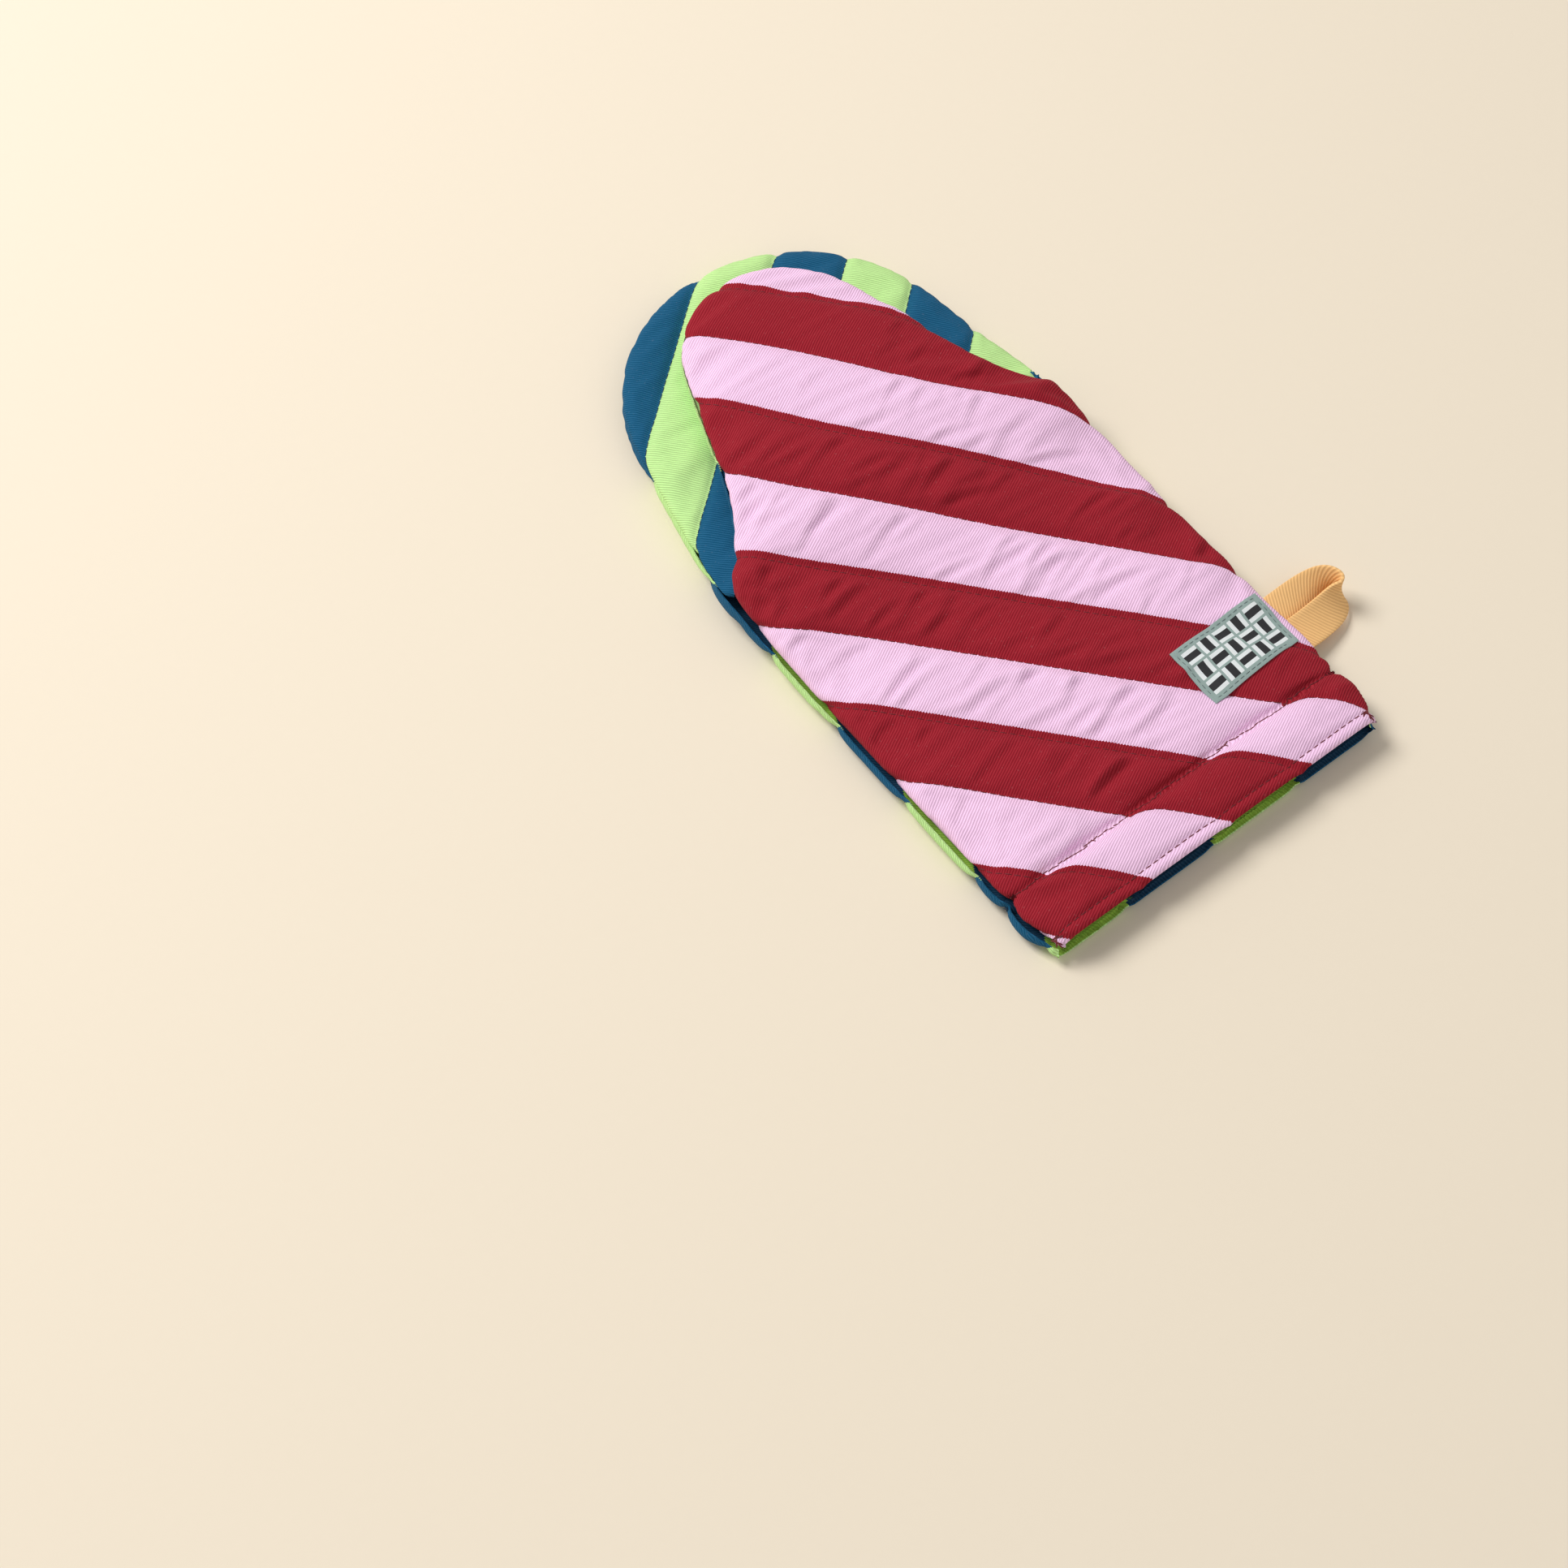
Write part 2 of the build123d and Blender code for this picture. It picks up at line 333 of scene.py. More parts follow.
@dataclass
class Outline:
    """A panel's seam line on the plan, open at the cuff, with the panel on its right-hand side."""

    SLICE = 4000

    corners: list
    softness: float = 3.5
    line: np.ndarray = field(init=False)

    def __post_init__(self) -> None:
        """Sample the line each millimetre and round its corners."""
        corners = np.array(self.corners, float)
        runs = np.r_[0, np.cumsum(np.hypot(*np.diff(corners, axis=0).T))]
        at = np.arange(0, runs[-1], 1.0)
        line = np.stack([np.interp(at, runs, corners[:, axis]) for axis in (0, 1)], 1)
        reach = int(3 * self.softness)
        weights = np.exp(-0.5 * (np.arange(-reach, reach + 1) / self.softness) ** 2)
        weights /= weights.sum()
        padded = np.pad(line, ((reach, reach), (0, 0)), mode="reflect", reflect_type="odd")
        self.line = np.stack([np.convolve(padded[:, axis], weights, "valid") for axis in (0, 1)], 1)

    def inside(self, points: np.ndarray) -> tuple:
        """How far points stand inside the line.

        Args:
            points: plan points, one for each row.

        Returns:
            The signed distance of each point, and its inward direction.
        """
        line = self.line
        distance, inward = np.zeros(len(points)), np.zeros((len(points), 2))
        along = np.gradient(line, axis=0)
        along /= np.hypot(*along.T)[:, None]
        for first in range(0, len(points), self.SLICE):
            part = slice(first, first + self.SLICE)
            some = points[part, :2]
            gap = ((some[:, None, :] - line[None, :, :]) ** 2).sum(2)
            near = gap.argmin(1)
            tangent = along[near]
            offset = some - line[near]
            slide = np.clip((offset * tangent).sum(1), -0.6, 0.6)
            offset -= tangent * slide[:, None]
            side = np.sign(offset[:, 0] * tangent[:, 1] - offset[:, 1] * tangent[:, 0])
            size = np.hypot(*offset.T)
            distance[part] = side * size
            normal = np.stack([tangent[:, 1], -tangent[:, 0]], 1)
            clear = size > 0.3
            normal[clear] = (offset[clear] / size[clear, None]) * side[clear, None]
            inward[part] = normal
        return distance, inward


def cuff_side(edge: float, inward: int) -> list:
    """One side's corners from below the cuff, which is a little narrower than the palm, up to full width."""
    return [(edge + inward * 6.5, -30.0), (edge + inward * 3.6, 0), (edge, 14)]


def wide_outline(left: float, right: float) -> Outline:
    """The hand's outline from the cuff round the fingertips, with its sides at left and right."""
    tip = round_tip((left, 186.0), (right, 198.0), (4.0, 241.0), 69.0)
    return Outline([*cuff_side(left, 1), (left, 176), *tip, *cuff_side(right, -1)[::-1]])


def thumb_outline(left: float, right: float, grow: float = 0.0) -> Outline:
    """The thumb side's outline: full width to the crotch, then tapering to the thumb's round tip.

    Args:
        left: where its left side is.
        right: where its right side is.
        grow: how much wider the thumb is made at its left and its tip.

    Returns:
        The outline.
    """
    left_top, right_top = (-47.5 - grow, 226.0), (54.5, 226.0)
    corners = [*cuff_side(left, 1), (left, 150)]
    corners += arc_through((left, CROTCH + 1), (-59.5 - grow, 200), left_top, 12)
    corners += round_tip(left_top, right_top, (5.0, 251.5), 40.3 + grow)[1:-1]
    corners += arc_through(right_top, (63.0, 200), (right, CROTCH + 1), 12)
    return Outline(corners + cuff_side(right, -1)[::-1])


# ---------------------------------------------------------------------------------------------- finishes


@dataclass(frozen=True)
class Rows:
    """The stripes' direction on a panel: their angle to the cuff and one colour change's place."""

    angle: float
    offset: float
    inset: tuple = (0.0, 0.0)

    @property
    def along(self) -> np.ndarray:
        """The direction that the stripes run in."""
        return np.array([math.cos(math.radians(self.angle)), math.sin(math.radians(self.angle))])

    @property
    def across(self) -> np.ndarray:
        """The direction across the stripes, towards the fingertips."""
        return np.array([-self.along[1], self.along[0]])

    def stitched(self) -> list:
        """The places across the stripes of every stitched row."""
        return [self.offset + k * STRIPE - self.inset[k % 2] for k in range(-14, 15)]

    def nearest_row(self, across: np.ndarray) -> np.ndarray:
        """The distance from each place across the stripes to the nearest stitched row."""
        rows = np.array(self.stitched())
        return np.abs(across[:, None] - rows[None, :]).min(1)


def linear(red: int, green: int, blue: int) -> tuple:
    """A display colour, each part from 0 to 255, as the linear colour that a shader takes."""
    parts = [c / 255 for c in (red, green, blue)]
    return tuple(c / 12.92 if c <= 0.04045 else ((c + 0.055) / 1.055) ** 2.4 for c in parts) + (1.0,)


class Nodes:
    """A short way to write a material's node tree."""

    def __init__(self, name: str) -> None:
        """Start a material with a Principled shader.

        Args:
            name: the material's name.
        """
        self.material = bpy.data.materials.new(name)
        self.material.use_nodes = True
        self.tree = self.material.node_tree
        self.shader = next(n for n in self.tree.nodes if n.type == "BSDF_PRINCIPLED")

    def node(self, kind: str, **settings: object) -> bpy.types.Node:
        """Add a node and set its properties.

        Args:
            kind: the node's type.
            **settings: values for the node's own properties.

        Returns:
            The node.
        """
        made = self.tree.nodes.new(kind)
        for key, value in settings.items():
            setattr(made, key, value)
        return made

    def feed(self, socket: bpy.types.NodeSocket, value: object) -> None:
        """Link a socket to another socket, or set its value.

        Args:
            socket: the input that is fed.
            value: an output to link it to, or a plain value.
        """
        if isinstance(value, bpy.types.NodeSocket):
            self.tree.links.new(value, socket)
        else:
            socket.default_value = value

    def math(self, operation: str, *values: object) -> bpy.types.NodeSocket:
        """A Math node's result.

        Args:
            operation: what the node does.
            *values: its two or three inputs, each a socket or a number.

        Returns:
            The result's socket.
        """
        made = self.node("ShaderNodeMath", operation=operation)
        for socket, value in zip(made.inputs, values):
            self.feed(socket, value)
        return made.outputs[0]

    def mix(self, amount: object, first: object, second: object, blend: str = "MIX") -> bpy.types.NodeSocket:
        """A mix of two colours.

        Args:
            amount: the second colour's share.
            first: the first colour.
            second: the second colour.
            blend: how the two are mixed.

        Returns:
            The result's socket.
        """
        made = self.node("ShaderNodeMix", data_type="RGBA", blend_type=blend)
        self.feed(made.inputs["Factor"], amount)
        self.feed(made.inputs[6], first)
        self.feed(made.inputs[7], second)
        return made.outputs[2]

    def noise(self, vector: object, scale: float, detail: float, rough: float = 0.5) -> bpy.types.NodeSocket:
        """A noise texture's value.

        Args:
            vector: the place that it is read at.
            scale: how fine it is.
            detail: how many finer layers it has.
            rough: how strong the finer layers are.

        Returns:
            The value's socket.
        """
        made = self.node("ShaderNodeTexNoise")
        self.feed(made.inputs["Vector"], vector)
        made.inputs["Scale"].default_value = scale
        made.inputs["Detail"].default_value = detail
        made.inputs["Roughness"].default_value = rough
        return made.outputs[0]

    def hue(self, colour: object, value: object) -> bpy.types.NodeSocket:
        """A colour made lighter or darker.

        Args:
            colour: the colour.
            value: what its brightness is multiplied by.

        Returns:
            The result's socket.
        """
        made = self.node("ShaderNodeHueSaturation")
        self.feed(made.inputs["Value"], value)
        self.feed(made.inputs["Color"], colour)
        return made.outputs[0]

    def finish(self, colour: object, height: object, distance: float, strength: float) -> bpy.types.Material:
        """Give the shader its colour and its fine relief.

        Args:
            colour: the base colour.
            height: the relief's height.
            distance: how deep the relief is, in metres.
            strength: how strongly it shows.

        Returns:
            The material.
        """
        bump = self.node("ShaderNodeBump")
        self.feed(bump.inputs["Strength"], strength)
        self.feed(bump.inputs["Distance"], distance)
        self.feed(bump.inputs["Height"], height)
        self.feed(self.shader.inputs["Base Color"], colour)
        self.feed(self.shader.inputs["Normal"], bump.outputs[0])
        return self.material


@dataclass(frozen=True)
class Twill:
    """Cotton twill striped in two dye colours, with painted shade in the grooves of its ribs and a painted
    highlight on their crests. Its UV map is the flat cloth in metres, along and across the stripes.
    """

    name: str
    even: tuple
    odd: tuple
    offset: float
    rib_angle: float
    rib_pitch: float = 0.92
    plain: bool = False
    rib_shade_and_flecks: float = 1.0

    def material(self) -> bpy.types.Material:
        """The finished cloth.

        Returns:
            A material that reads the piece's own UV map.
        """
        n = Nodes(self.name)
        uv = n.node("ShaderNodeUVMap", uv_map="UVMap")
        split = n.node("ShaderNodeSeparateXYZ")
        n.feed(split.inputs[0], uv.outputs[0])
        along, across = split.outputs[0], split.outputs[1]
        turn = math.radians(self.rib_angle)
        rib_across = n.math(
            "ADD", n.math("MULTIPLY", along, -math.sin(turn)), n.math("MULTIPLY", across, math.cos(turn))
        )
        rib_along = n.math(
            "ADD", n.math("MULTIPLY", along, math.cos(turn)), n.math("MULTIPLY", across, math.sin(turn))
        )
        wander = n.noise(uv.outputs[0], 55.0, 3.0)
        bent = n.math("ADD", rib_across, n.math("MULTIPLY", n.math("SUBTRACT", wander, 0.5), 0.0011))
        turns = n.math("MULTIPLY", bent, 2 * math.pi / (self.rib_pitch * MILLIMETRE))
        rib = n.math("MULTIPLY_ADD", n.math("SINE", turns), 0.5, 0.5)
        yarn_place = n.node("ShaderNodeCombineXYZ")
        n.feed(yarn_place.inputs[0], n.math("MULTIPLY", rib_across, 1300.0))
        n.feed(yarn_place.inputs[1], n.math("MULTIPLY", rib_along, 420.0))
        yarn = n.noise(yarn_place.outputs[0], 1.0, 1.0)
        fleck = n.noise(uv.outputs[0], 900.0, 1.0)
        patch = n.noise(uv.outputs[0], 28.0, 4.0, 0.6)
        tooth = n.math("PINGPONG", along, 0.00055)
        edge = n.math("ADD", across, n.math("SUBTRACT", n.math("MULTIPLY", tooth, 0.7), 0.0002))
        stripe = n.math("DIVIDE", n.math("SUBTRACT", edge, self.offset * MILLIMETRE), STRIPE * MILLIMETRE)
        odd = n.math("FLOORED_MODULO", n.math("FLOOR", stripe), 2.0)
        base = self.even if self.plain else n.mix(odd, self.even, self.odd)
        # Painted shade: the rib grooves get a darker multiply of the stripe colour. Painted highlight: the
        # rib crests get the colour 12% lighter, touched towards near-white. One field scales both, and the
        # pale flecks too.
        painted_groove_shade = n.mix(0.38 * self.rib_shade_and_flecks, base, n.mix(1.0, base, (0.30, 0.22, 0.26, 1.0), "MULTIPLY"))
        lifted = n.mix(1.0, base, (1.12, 1.12, 1.12, 1.0), "MULTIPLY")
        painted_crest_highlight = n.mix(0.018 * self.rib_shade_and_flecks, lifted, (0.9, 0.85, 0.85, 1.0))
        rib_shaded_stripes = n.mix(n.math("MULTIPLY", rib, n.math("MULTIPLY_ADD", yarn, 0.8, 0.6)), painted_groove_shade, painted_crest_highlight)
        thin = n.math("MULTIPLY", n.math("GREATER_THAN", fleck, 0.70), 0.03 * self.rib_shade_and_flecks)
        flecked = n.mix(thin, rib_shaded_stripes, (0.85, 0.78, 0.78, 1.0))
        toned = n.hue(flecked, n.math("MULTIPLY_ADD", patch, 0.16, 0.92))
        n.feed(n.shader.inputs["Roughness"], n.math("MULTIPLY_ADD", rib, -0.10, 0.92))
        n.shader.inputs["Specular IOR Level"].default_value = 0.12
        n.shader.inputs["Sheen Weight"].default_value = 0.03
        n.shader.inputs["Sheen Roughness"].default_value = 0.5
        height = n.math("ADD", n.math("MULTIPLY", rib, 0.75), n.math("MULTIPLY", yarn, 0.45))
        return n.finish(toned, height, 0.00022, 0.75)


@dataclass(frozen=True)
class Thread:
    """Spun sewing thread, with its twist across each stitch."""

    name: str
    colour: tuple

    def material(self) -> bpy.types.Material:
        """Make the thread.

        Returns:
            A material that reads the piece's own coordinates.
        """
        n = Nodes(self.name)
        place = n.node("ShaderNodeTexCoord").outputs["Object"]
        fibre = n.noise(place, 2600.0, 2.0)
        tone = n.mix(fibre, tuple(c * 0.55 for c in self.colour[:3]) + (1.0,), self.colour)
        n.shader.inputs["Roughness"].default_value = 0.6
        n.shader.inputs["Sheen Weight"].default_value = 0.1
        return n.finish(tone, fibre, 0.0001, 0.6)


@dataclass(frozen=True)
class Backdrop:
    """Pale matt card under the mitt."""

    colour: tuple

    def material(self) -> bpy.types.Material:
        """Make the card.

        Returns:
            A material that reads the piece's own coordinates.
        """
        n = Nodes("pale_card")
        place = n.node("ShaderNodeTexCoord").outputs["Object"]
        grain = n.noise(place, 240.0, 3.0)
        tone = n.hue(self.colour, n.math("MULTIPLY_ADD", grain, 0.012, 0.994))
        n.feed(n.shader.inputs["Base Color"], tone)
        n.shader.inputs["Roughness"].default_value = 0.95
        n.shader.inputs["Specular IOR Level"].default_value = 0.1
        return n.material


PINK = linear(255, 214, 248)
CRIMSON = linear(160, 24, 42)
NAVY = linear(8, 92, 132)
LIME = linear(200, 246, 160)
TAN = linear(252, 202, 136)
# Darker copies of the four stripe colours for the linings: painted shade for the lining that lies in shadow
# inside the mitt's mouth.
SHADED_NAVY = linear(8, 52, 80)
SHADED_LIME = linear(140, 184, 66)
SHADED_CRIMSON = linear(96, 14, 26)
SHADED_PINK = linear(176, 130, 156)


# ---------------------------------------------------------------------------------------------- panels


class Facing(Enum):
    """Which way a panel's outer cloth faces."""

    UP = 1
    DOWN = -1


@dataclass
class QuiltedPanel:
    """One quilted panel: cloth over batting, sewn down along its stripes and rolled in at its seam."""

    STRIPES_ACROSS = 16
    SLACK_FRAME = 12
    LAST_FRAME = 22

    name: str
    facing: Facing
    outline: Outline
    rows: Rows
    crown: Callable
    seam: Callable
    start: float
    belly: float = 2.0
    roll: float = 9.0
    puff: float = 2.3
    swell: float = 8.0
    growth: float = 0.012
    pull: float = 0.06
    creases: int = 0
    bolster: float = 2.4
    drift: Callable = field(default=lambda x, y: np.zeros(len(x)))
    resting: bool = False
    hem: bool = False
    piece: Optional[bpy.types.Object] = None
    flipped: bool = False

    @property
    def outward(self) -> float:
        """1 if the grid's own normals point out of the panel, and -1 if they point in."""
        return float(self.facing.value) if not self.flipped else 1.0

    def laid(self) -> np.ndarray:
        """Where each vertex lies on the flat cloth, once its stripes are pulled to their place."""
        mesh = self.piece.data
        return np.column_stack([read_values(mesh, "flat_x"), read_values(mesh, "flat_y")])

    def pattern(self) -> np.ndarray:
        """Where each vertex lies on the flat cloth, as it was cut."""
        mesh = self.piece.data
        return np.column_stack([read_values(mesh, "cut_x"), read_values(mesh, "cut_y")])

    def roll_shape(self, along_y: np.ndarray) -> tuple:
        """The edge roll's ellipse at each distance from the cuff.

        Args:
            along_y: distances from the cuff.

        Returns:
            The ellipse's height, and its angle and the length run so far at each sample along it.
        """
        height = self.facing.value * (self.crown(along_y) - self.seam(along_y)) - self.belly
        height = np.maximum(height, 1.2)
        begin = -np.arcsin(np.clip(self.belly / height, 0, 0.85))
        share = np.linspace(0, 1, SAMPLES)[:, None]
        angle = begin + (math.pi / 2 - begin) * share
        x, z = -self.roll * np.cos(angle), height * np.sin(angle)
        step = np.hypot(np.diff(x, axis=0), np.diff(z, axis=0))
        return height, angle, np.vstack([np.zeros(len(along_y)), np.cumsum(step, axis=0)])

    def place(self, flat: np.ndarray) -> tuple:
        """Where points of the flat cloth lie on the mitt.

        Args:
            flat: points of the flat cloth, in line with the plan.

        Returns:
            The plan points, and each one's distance from the cloth's cut edge.
        """
        inside, inward = self.outline.inside(flat)
        y = np.clip(flat[:, 1] + np.minimum(inside, 0) * inward[:, 1], -20, 320)
        height, angle, arc = self.roll_shape(y)
        length = arc[-1]
        from_edge = inside + length - self.roll
        run = np.maximum(from_edge, 0)
        index = np.clip((arc < run[None, :]).sum(0), 1, SAMPLES - 1)
        cols = np.arange(len(y))
        low, high = arc[index - 1, cols], arc[index, cols]
        part = np.clip((run - low) / np.maximum(high - low, 1e-9), 0, 1)
        turned = angle[index - 1, cols] * (1 - part) + angle[index, cols] * part
        on_roll = run < length
        inset = np.where(on_roll, self.roll * (1 - np.cos(turned)), self.roll + run - length)
        rise = np.where(on_roll, height * np.sin(turned), height)
        moved = flat[:, :2] + inward * (inset - inside)[:, None]
        z = self.seam(moved[:, 1]) + self.facing.value * (self.belly + rise)
        return np.column_stack([moved, z]), from_edge

    def lay_out(self) -> None:
        """Cut the cloth on a grid in line with its stripes, and lay it over the mitt's form."""
        across, along = self.rows.across, self.rows.along
        middle = np.array([0.0, 155.0])
        row = self.rows.offset + STRIPE * round((middle @ across - self.rows.offset) / STRIPE)
        centre = to_frame(np.array([*(across * row + along * (middle @ along)), 0.0]))
        count = self.STRIPES_ACROSS * CELLS_IN_STRIPE
        size = count * CELL * MILLIMETRE
        self.piece = new_grid(self.name, count, count, size, tuple(centre), self.rows.angle)
        mesh = self.piece.data
        pattern = read_points(mesh)
        write_values(mesh, "cut_x", pattern[:, 0])
        write_values(mesh, "cut_y", pattern[:, 1])
        flat = pattern.copy()
        flat[:, :2] += across * self.drift(pattern[:, 0], pattern[:, 1])[:, None]
        write_points(mesh, flat)
        from_edge = self.place(flat)[1]
        faces = gather(mesh.polygons, "vertices", 4, np.int32)
        inner = from_edge[faces].mean(1) > 0.1 * CELL
        inner &= flat[faces, 1].max(1) > self.start
        keep_faces(self.piece, inner)
        self.reach_edge()
        cut(self.piece, self.start, clear=True)
        if self.hem:
            cut(self.piece, CUFF_QUILTING)
        flat = read_points(mesh)
        placed, from_edge = self.place(flat)
        write_values(mesh, "flat_x", flat[:, 0])
        write_values(mesh, "flat_y", flat[:, 1])
        write_values(mesh, "from_edge", from_edge)
        write_points(mesh, placed)

    def reach_edge(self) -> None:
        """Move the cloth's border out to its cut edge."""
        mesh = self.piece.data
        flat = read_points(mesh)
        uses = np.bincount(gather(mesh.loops, "edge_index", kind=np.int32), minlength=len(mesh.edges))
        border = np.zeros(len(flat), bool)
        border[gather(mesh.edges, "vertices", 2, np.int32)[uses == 1].ravel()] = True
        from_edge = self.place(flat)[1]
        border &= from_edge < 3 * CELL
        inward = self.outline.inside(flat)[1]
        flat[border, :2] -= inward[border] * from_edge[border, None]
        write_points(mesh, flat)

    def swell_out(self) -> None:
        """Fill the pockets between the rows with batting."""
        mesh = self.piece.data
        rest, flat = read_points(mesh), self.laid()
        from_edge = read_values(mesh, "from_edge")
        across = self.pattern() @ self.rows.across
        near_row = self.rows.nearest_row(across)
        held = (near_row < 0.2) | (from_edge < 2.5)
        if self.hem:
            held |= np.abs(flat[:, 1] - CUFF_QUILTING) < 0.3
            held |= flat[:, 1] < 6.0
        held |= flat[:, 1] < self.start + 2.0
        room = np.minimum(near_row, 12.0) / 12.0
        room = np.minimum(room, np.clip(from_edge / 9, 0, 1))
        if self.hem:
            room = np.minimum(room, np.clip(np.abs(flat[:, 1] - CUFF_QUILTING) / 9, 0, 1))
            room = np.minimum(room, np.clip(flat[:, 1] / 12, 0.25, 1))
        lift = self.puff * (1 - (1 - room) ** 2.5)
        if self.hem:
            share = np.clip((flat[:, 1] - 5.0) / (CUFF_QUILTING - 5.0), 0, 1)
            lift += self.bolster * (1 - np.abs(2 * share - 1) ** 2.4) * np.clip(from_edge / 9, 0, 1)
        lifted = read_normals(mesh) * self.outward * lift[:, None]
        shift = self.drape(held, rest, across) - rest
        size = np.linalg.norm(shift, axis=1)
        LOG.info("%s swells %.1f mm at most, %.1f mm on average", self.name, size.max(), size.mean())
        shift *= np.minimum(1, self.puff * 1.2 / np.maximum(size, 1e-9))[:, None]
        write_points(mesh, rest + shift + 0.45 * lifted)

    def drape(self, held: np.ndarray, rest: np.ndarray, across: np.ndarray) -> np.ndarray:
        """Let the cloth settle in a short simulation that starts with its rows pulled along themselves.

        Args:
            held: which vertices are sewn down.
            rest: where the vertices are.
            across: how far each vertex is across the rows.

        Returns:
            Where the vertices settle.
        """
        piece, mesh = self.piece, self.piece.data
        pins = piece.vertex_groups.new(name="held")
        pins.add(np.flatnonzero(held).tolist(), 1.0, "REPLACE")
        scene = bpy.context.scene
        piece.shape_key_add(name="Basis")
        cut_shape = piece.shape_key_add(name="cut_shape")
        pulled = rest.copy()
        pulled[:, :2] -= self.rows.along * (self.pull * (across - across.mean()))[:, None]
        cut_shape.data.foreach_set("co", to_frame(pulled).astype(np.float32).ravel())
        for step, value in ((1, 1.0), (self.SLACK_FRAME, 0.0)):
            cut_shape.value = value
            cut_shape.keyframe_insert("value", frame=step)
        scene.frame_set(1)
        cloth = piece.modifiers.new("Cloth", "CLOTH")
        settings = cloth.settings
        settings.quality = 6
        settings.vertex_group_mass = "held"
        settings.shrink_min = -self.growth
        settings.tension_stiffness = 18
        settings.compression_stiffness = 18
        settings.shear_stiffness = 6
        settings.bending_stiffness = 0.03
        settings.use_pressure = True
        settings.uniform_pressure_force = self.swell * self.outward
        settings.effector_weights.gravity = 0
        cloth.collision_settings.use_collision = False
        cloth.point_cache.frame_start, cloth.point_cache.frame_end = 1, self.LAST_FRAME
        for step in range(1, self.LAST_FRAME + 1):
            scene.frame_set(step)
        moved = read_points(piece.evaluated_get(bpy.context.evaluated_depsgraph_get()).data)
        piece.modifiers.remove(cloth)
        mesh.shape_keys.animation_data_clear()
        piece.shape_key_clear()
        piece.vertex_groups.clear()
        scene.frame_set(1)
        return moved

    def turn_out(self) -> None:
        """Turn a down-facing panel's faces so that they point outwards."""
        if self.facing is Facing.DOWN:
            edit_whole(self.piece, bpy.ops.mesh.flip_normals)
        self.flipped = True

    def stitch_down(self) -> None:
        """Refine the cloth, and press in its rows of quilting and the cuff's two lines of stitching."""
        apply_modifier(
            self.piece, "SUBSURF", levels=1, render_levels=1, uv_smooth="NONE",
            boundary_smooth="PRESERVE_CORNERS",
        )
        if self.hem:
            rim = [self.start + step for step in (0.2, 0.5, 0.9, 1.4, 2.0)]
            for y in (*rim, 3.6, CUFF_STITCH, 5.4, 23.4, 24.2, CUFF_QUILTING, 25.8, 26.6):
                cut(self.piece, y)
        mesh = self.piece.data
        points, normals, flat = read_points(mesh), read_normals(mesh), self.laid()
        from_edge = read_values(mesh, "from_edge")
        near_row = self.rows.nearest_row(self.pattern() @ self.rows.across)
        free = smooth(from_edge, 0.0, 6.0)
        groove = 0.8 * np.exp(-((near_row / 1.3) ** 2)) + 0.45 * np.exp(-((near_row / 3.4) ** 2))
        dip = (0.5 + 0.5 * free) * groove
        weight = 0.12 + 0.88 * smooth(from_edge, 0.5, 15.0)
        if self.hem:
            line = np.abs(flat[:, 1] - CUFF_QUILTING)
            dip = np.maximum(dip, 1.2 * np.exp(-((line / 1.4) ** 2)) + 1.0 * np.exp(-((line / 5.0) ** 2)))
            edge = np.abs(flat[:, 1] - CUFF_STITCH)
            dip = np.maximum(dip, 0.7 * np.exp(-((edge / 1.0) ** 2)))
            depth = np.clip(flat[:, 1] - self.start, 0.0, 1.9) / 1.9
            round_off = np.sqrt(np.maximum(1 - (1 - depth) ** 2, 0.02))
            rib = 0.72 + 0.28 * smooth(flat[:, 1], 4.5, 12.0)
            dip += SHELL * 0.5 * rib * (1 - round_off)
            weight *= rib * round_off
        dip -= self.crease(flat) * smooth(near_row, 0.8, 6.0) * smooth(from_edge, 2.0, 9.0)
        pressed = points - normals * dip[:, None]
        if self.resting:
            pressed[:, 2] = np.maximum(pressed[:, 2], 0.15)
        write_points(mesh, pressed)
        write_values(mesh, "thick", np.clip(weight, 0.05, 1))

    def crease(self, flat: np.ndarray) -> np.ndarray:
        """The small drag creases that the quilting pulls into the cloth.

        Args:
            flat: points of the flat cloth.

        Returns:
            How far each point is raised, or sunk where negative.
        """
        random = np.random.default_rng(sum(map(ord, self.name)))
        raised = np.zeros(len(flat))
        for _ in range(self.creases):
            x, y = random.uniform(-74, 74), random.uniform(8, 236)
            angle = math.radians(random.normal(7.0, 7.0))
            long, wide = random.uniform(9, 19), random.uniform(2.0, 3.4)
            deep = random.uniform(0.5, 1.25) * (0.45 if y > 205 or y < 40 else 1.0)
            dx, dy = flat[:, 0] - x, flat[:, 1] - y
            along = (dx * math.cos(angle) + dy * math.sin(angle)) / long
            across = (dy * math.cos(angle) - dx * math.sin(angle) + 2.5 * along**2) / wide
            raised += deep * np.exp(-(along**2)) * across * np.exp(0.5 - across**2) * 1.1
        return np.clip(raised, -1.4, 1.4)

    def flat_uv(self) -> None:
        """Write the UV map: the flat cloth in metres, along and across its stripes."""
        flat = self.pattern()
        uv = np.column_stack([flat @ self.rows.along, flat @ self.rows.across]) * MILLIMETRE
        write_uv(self.piece.data, uv)

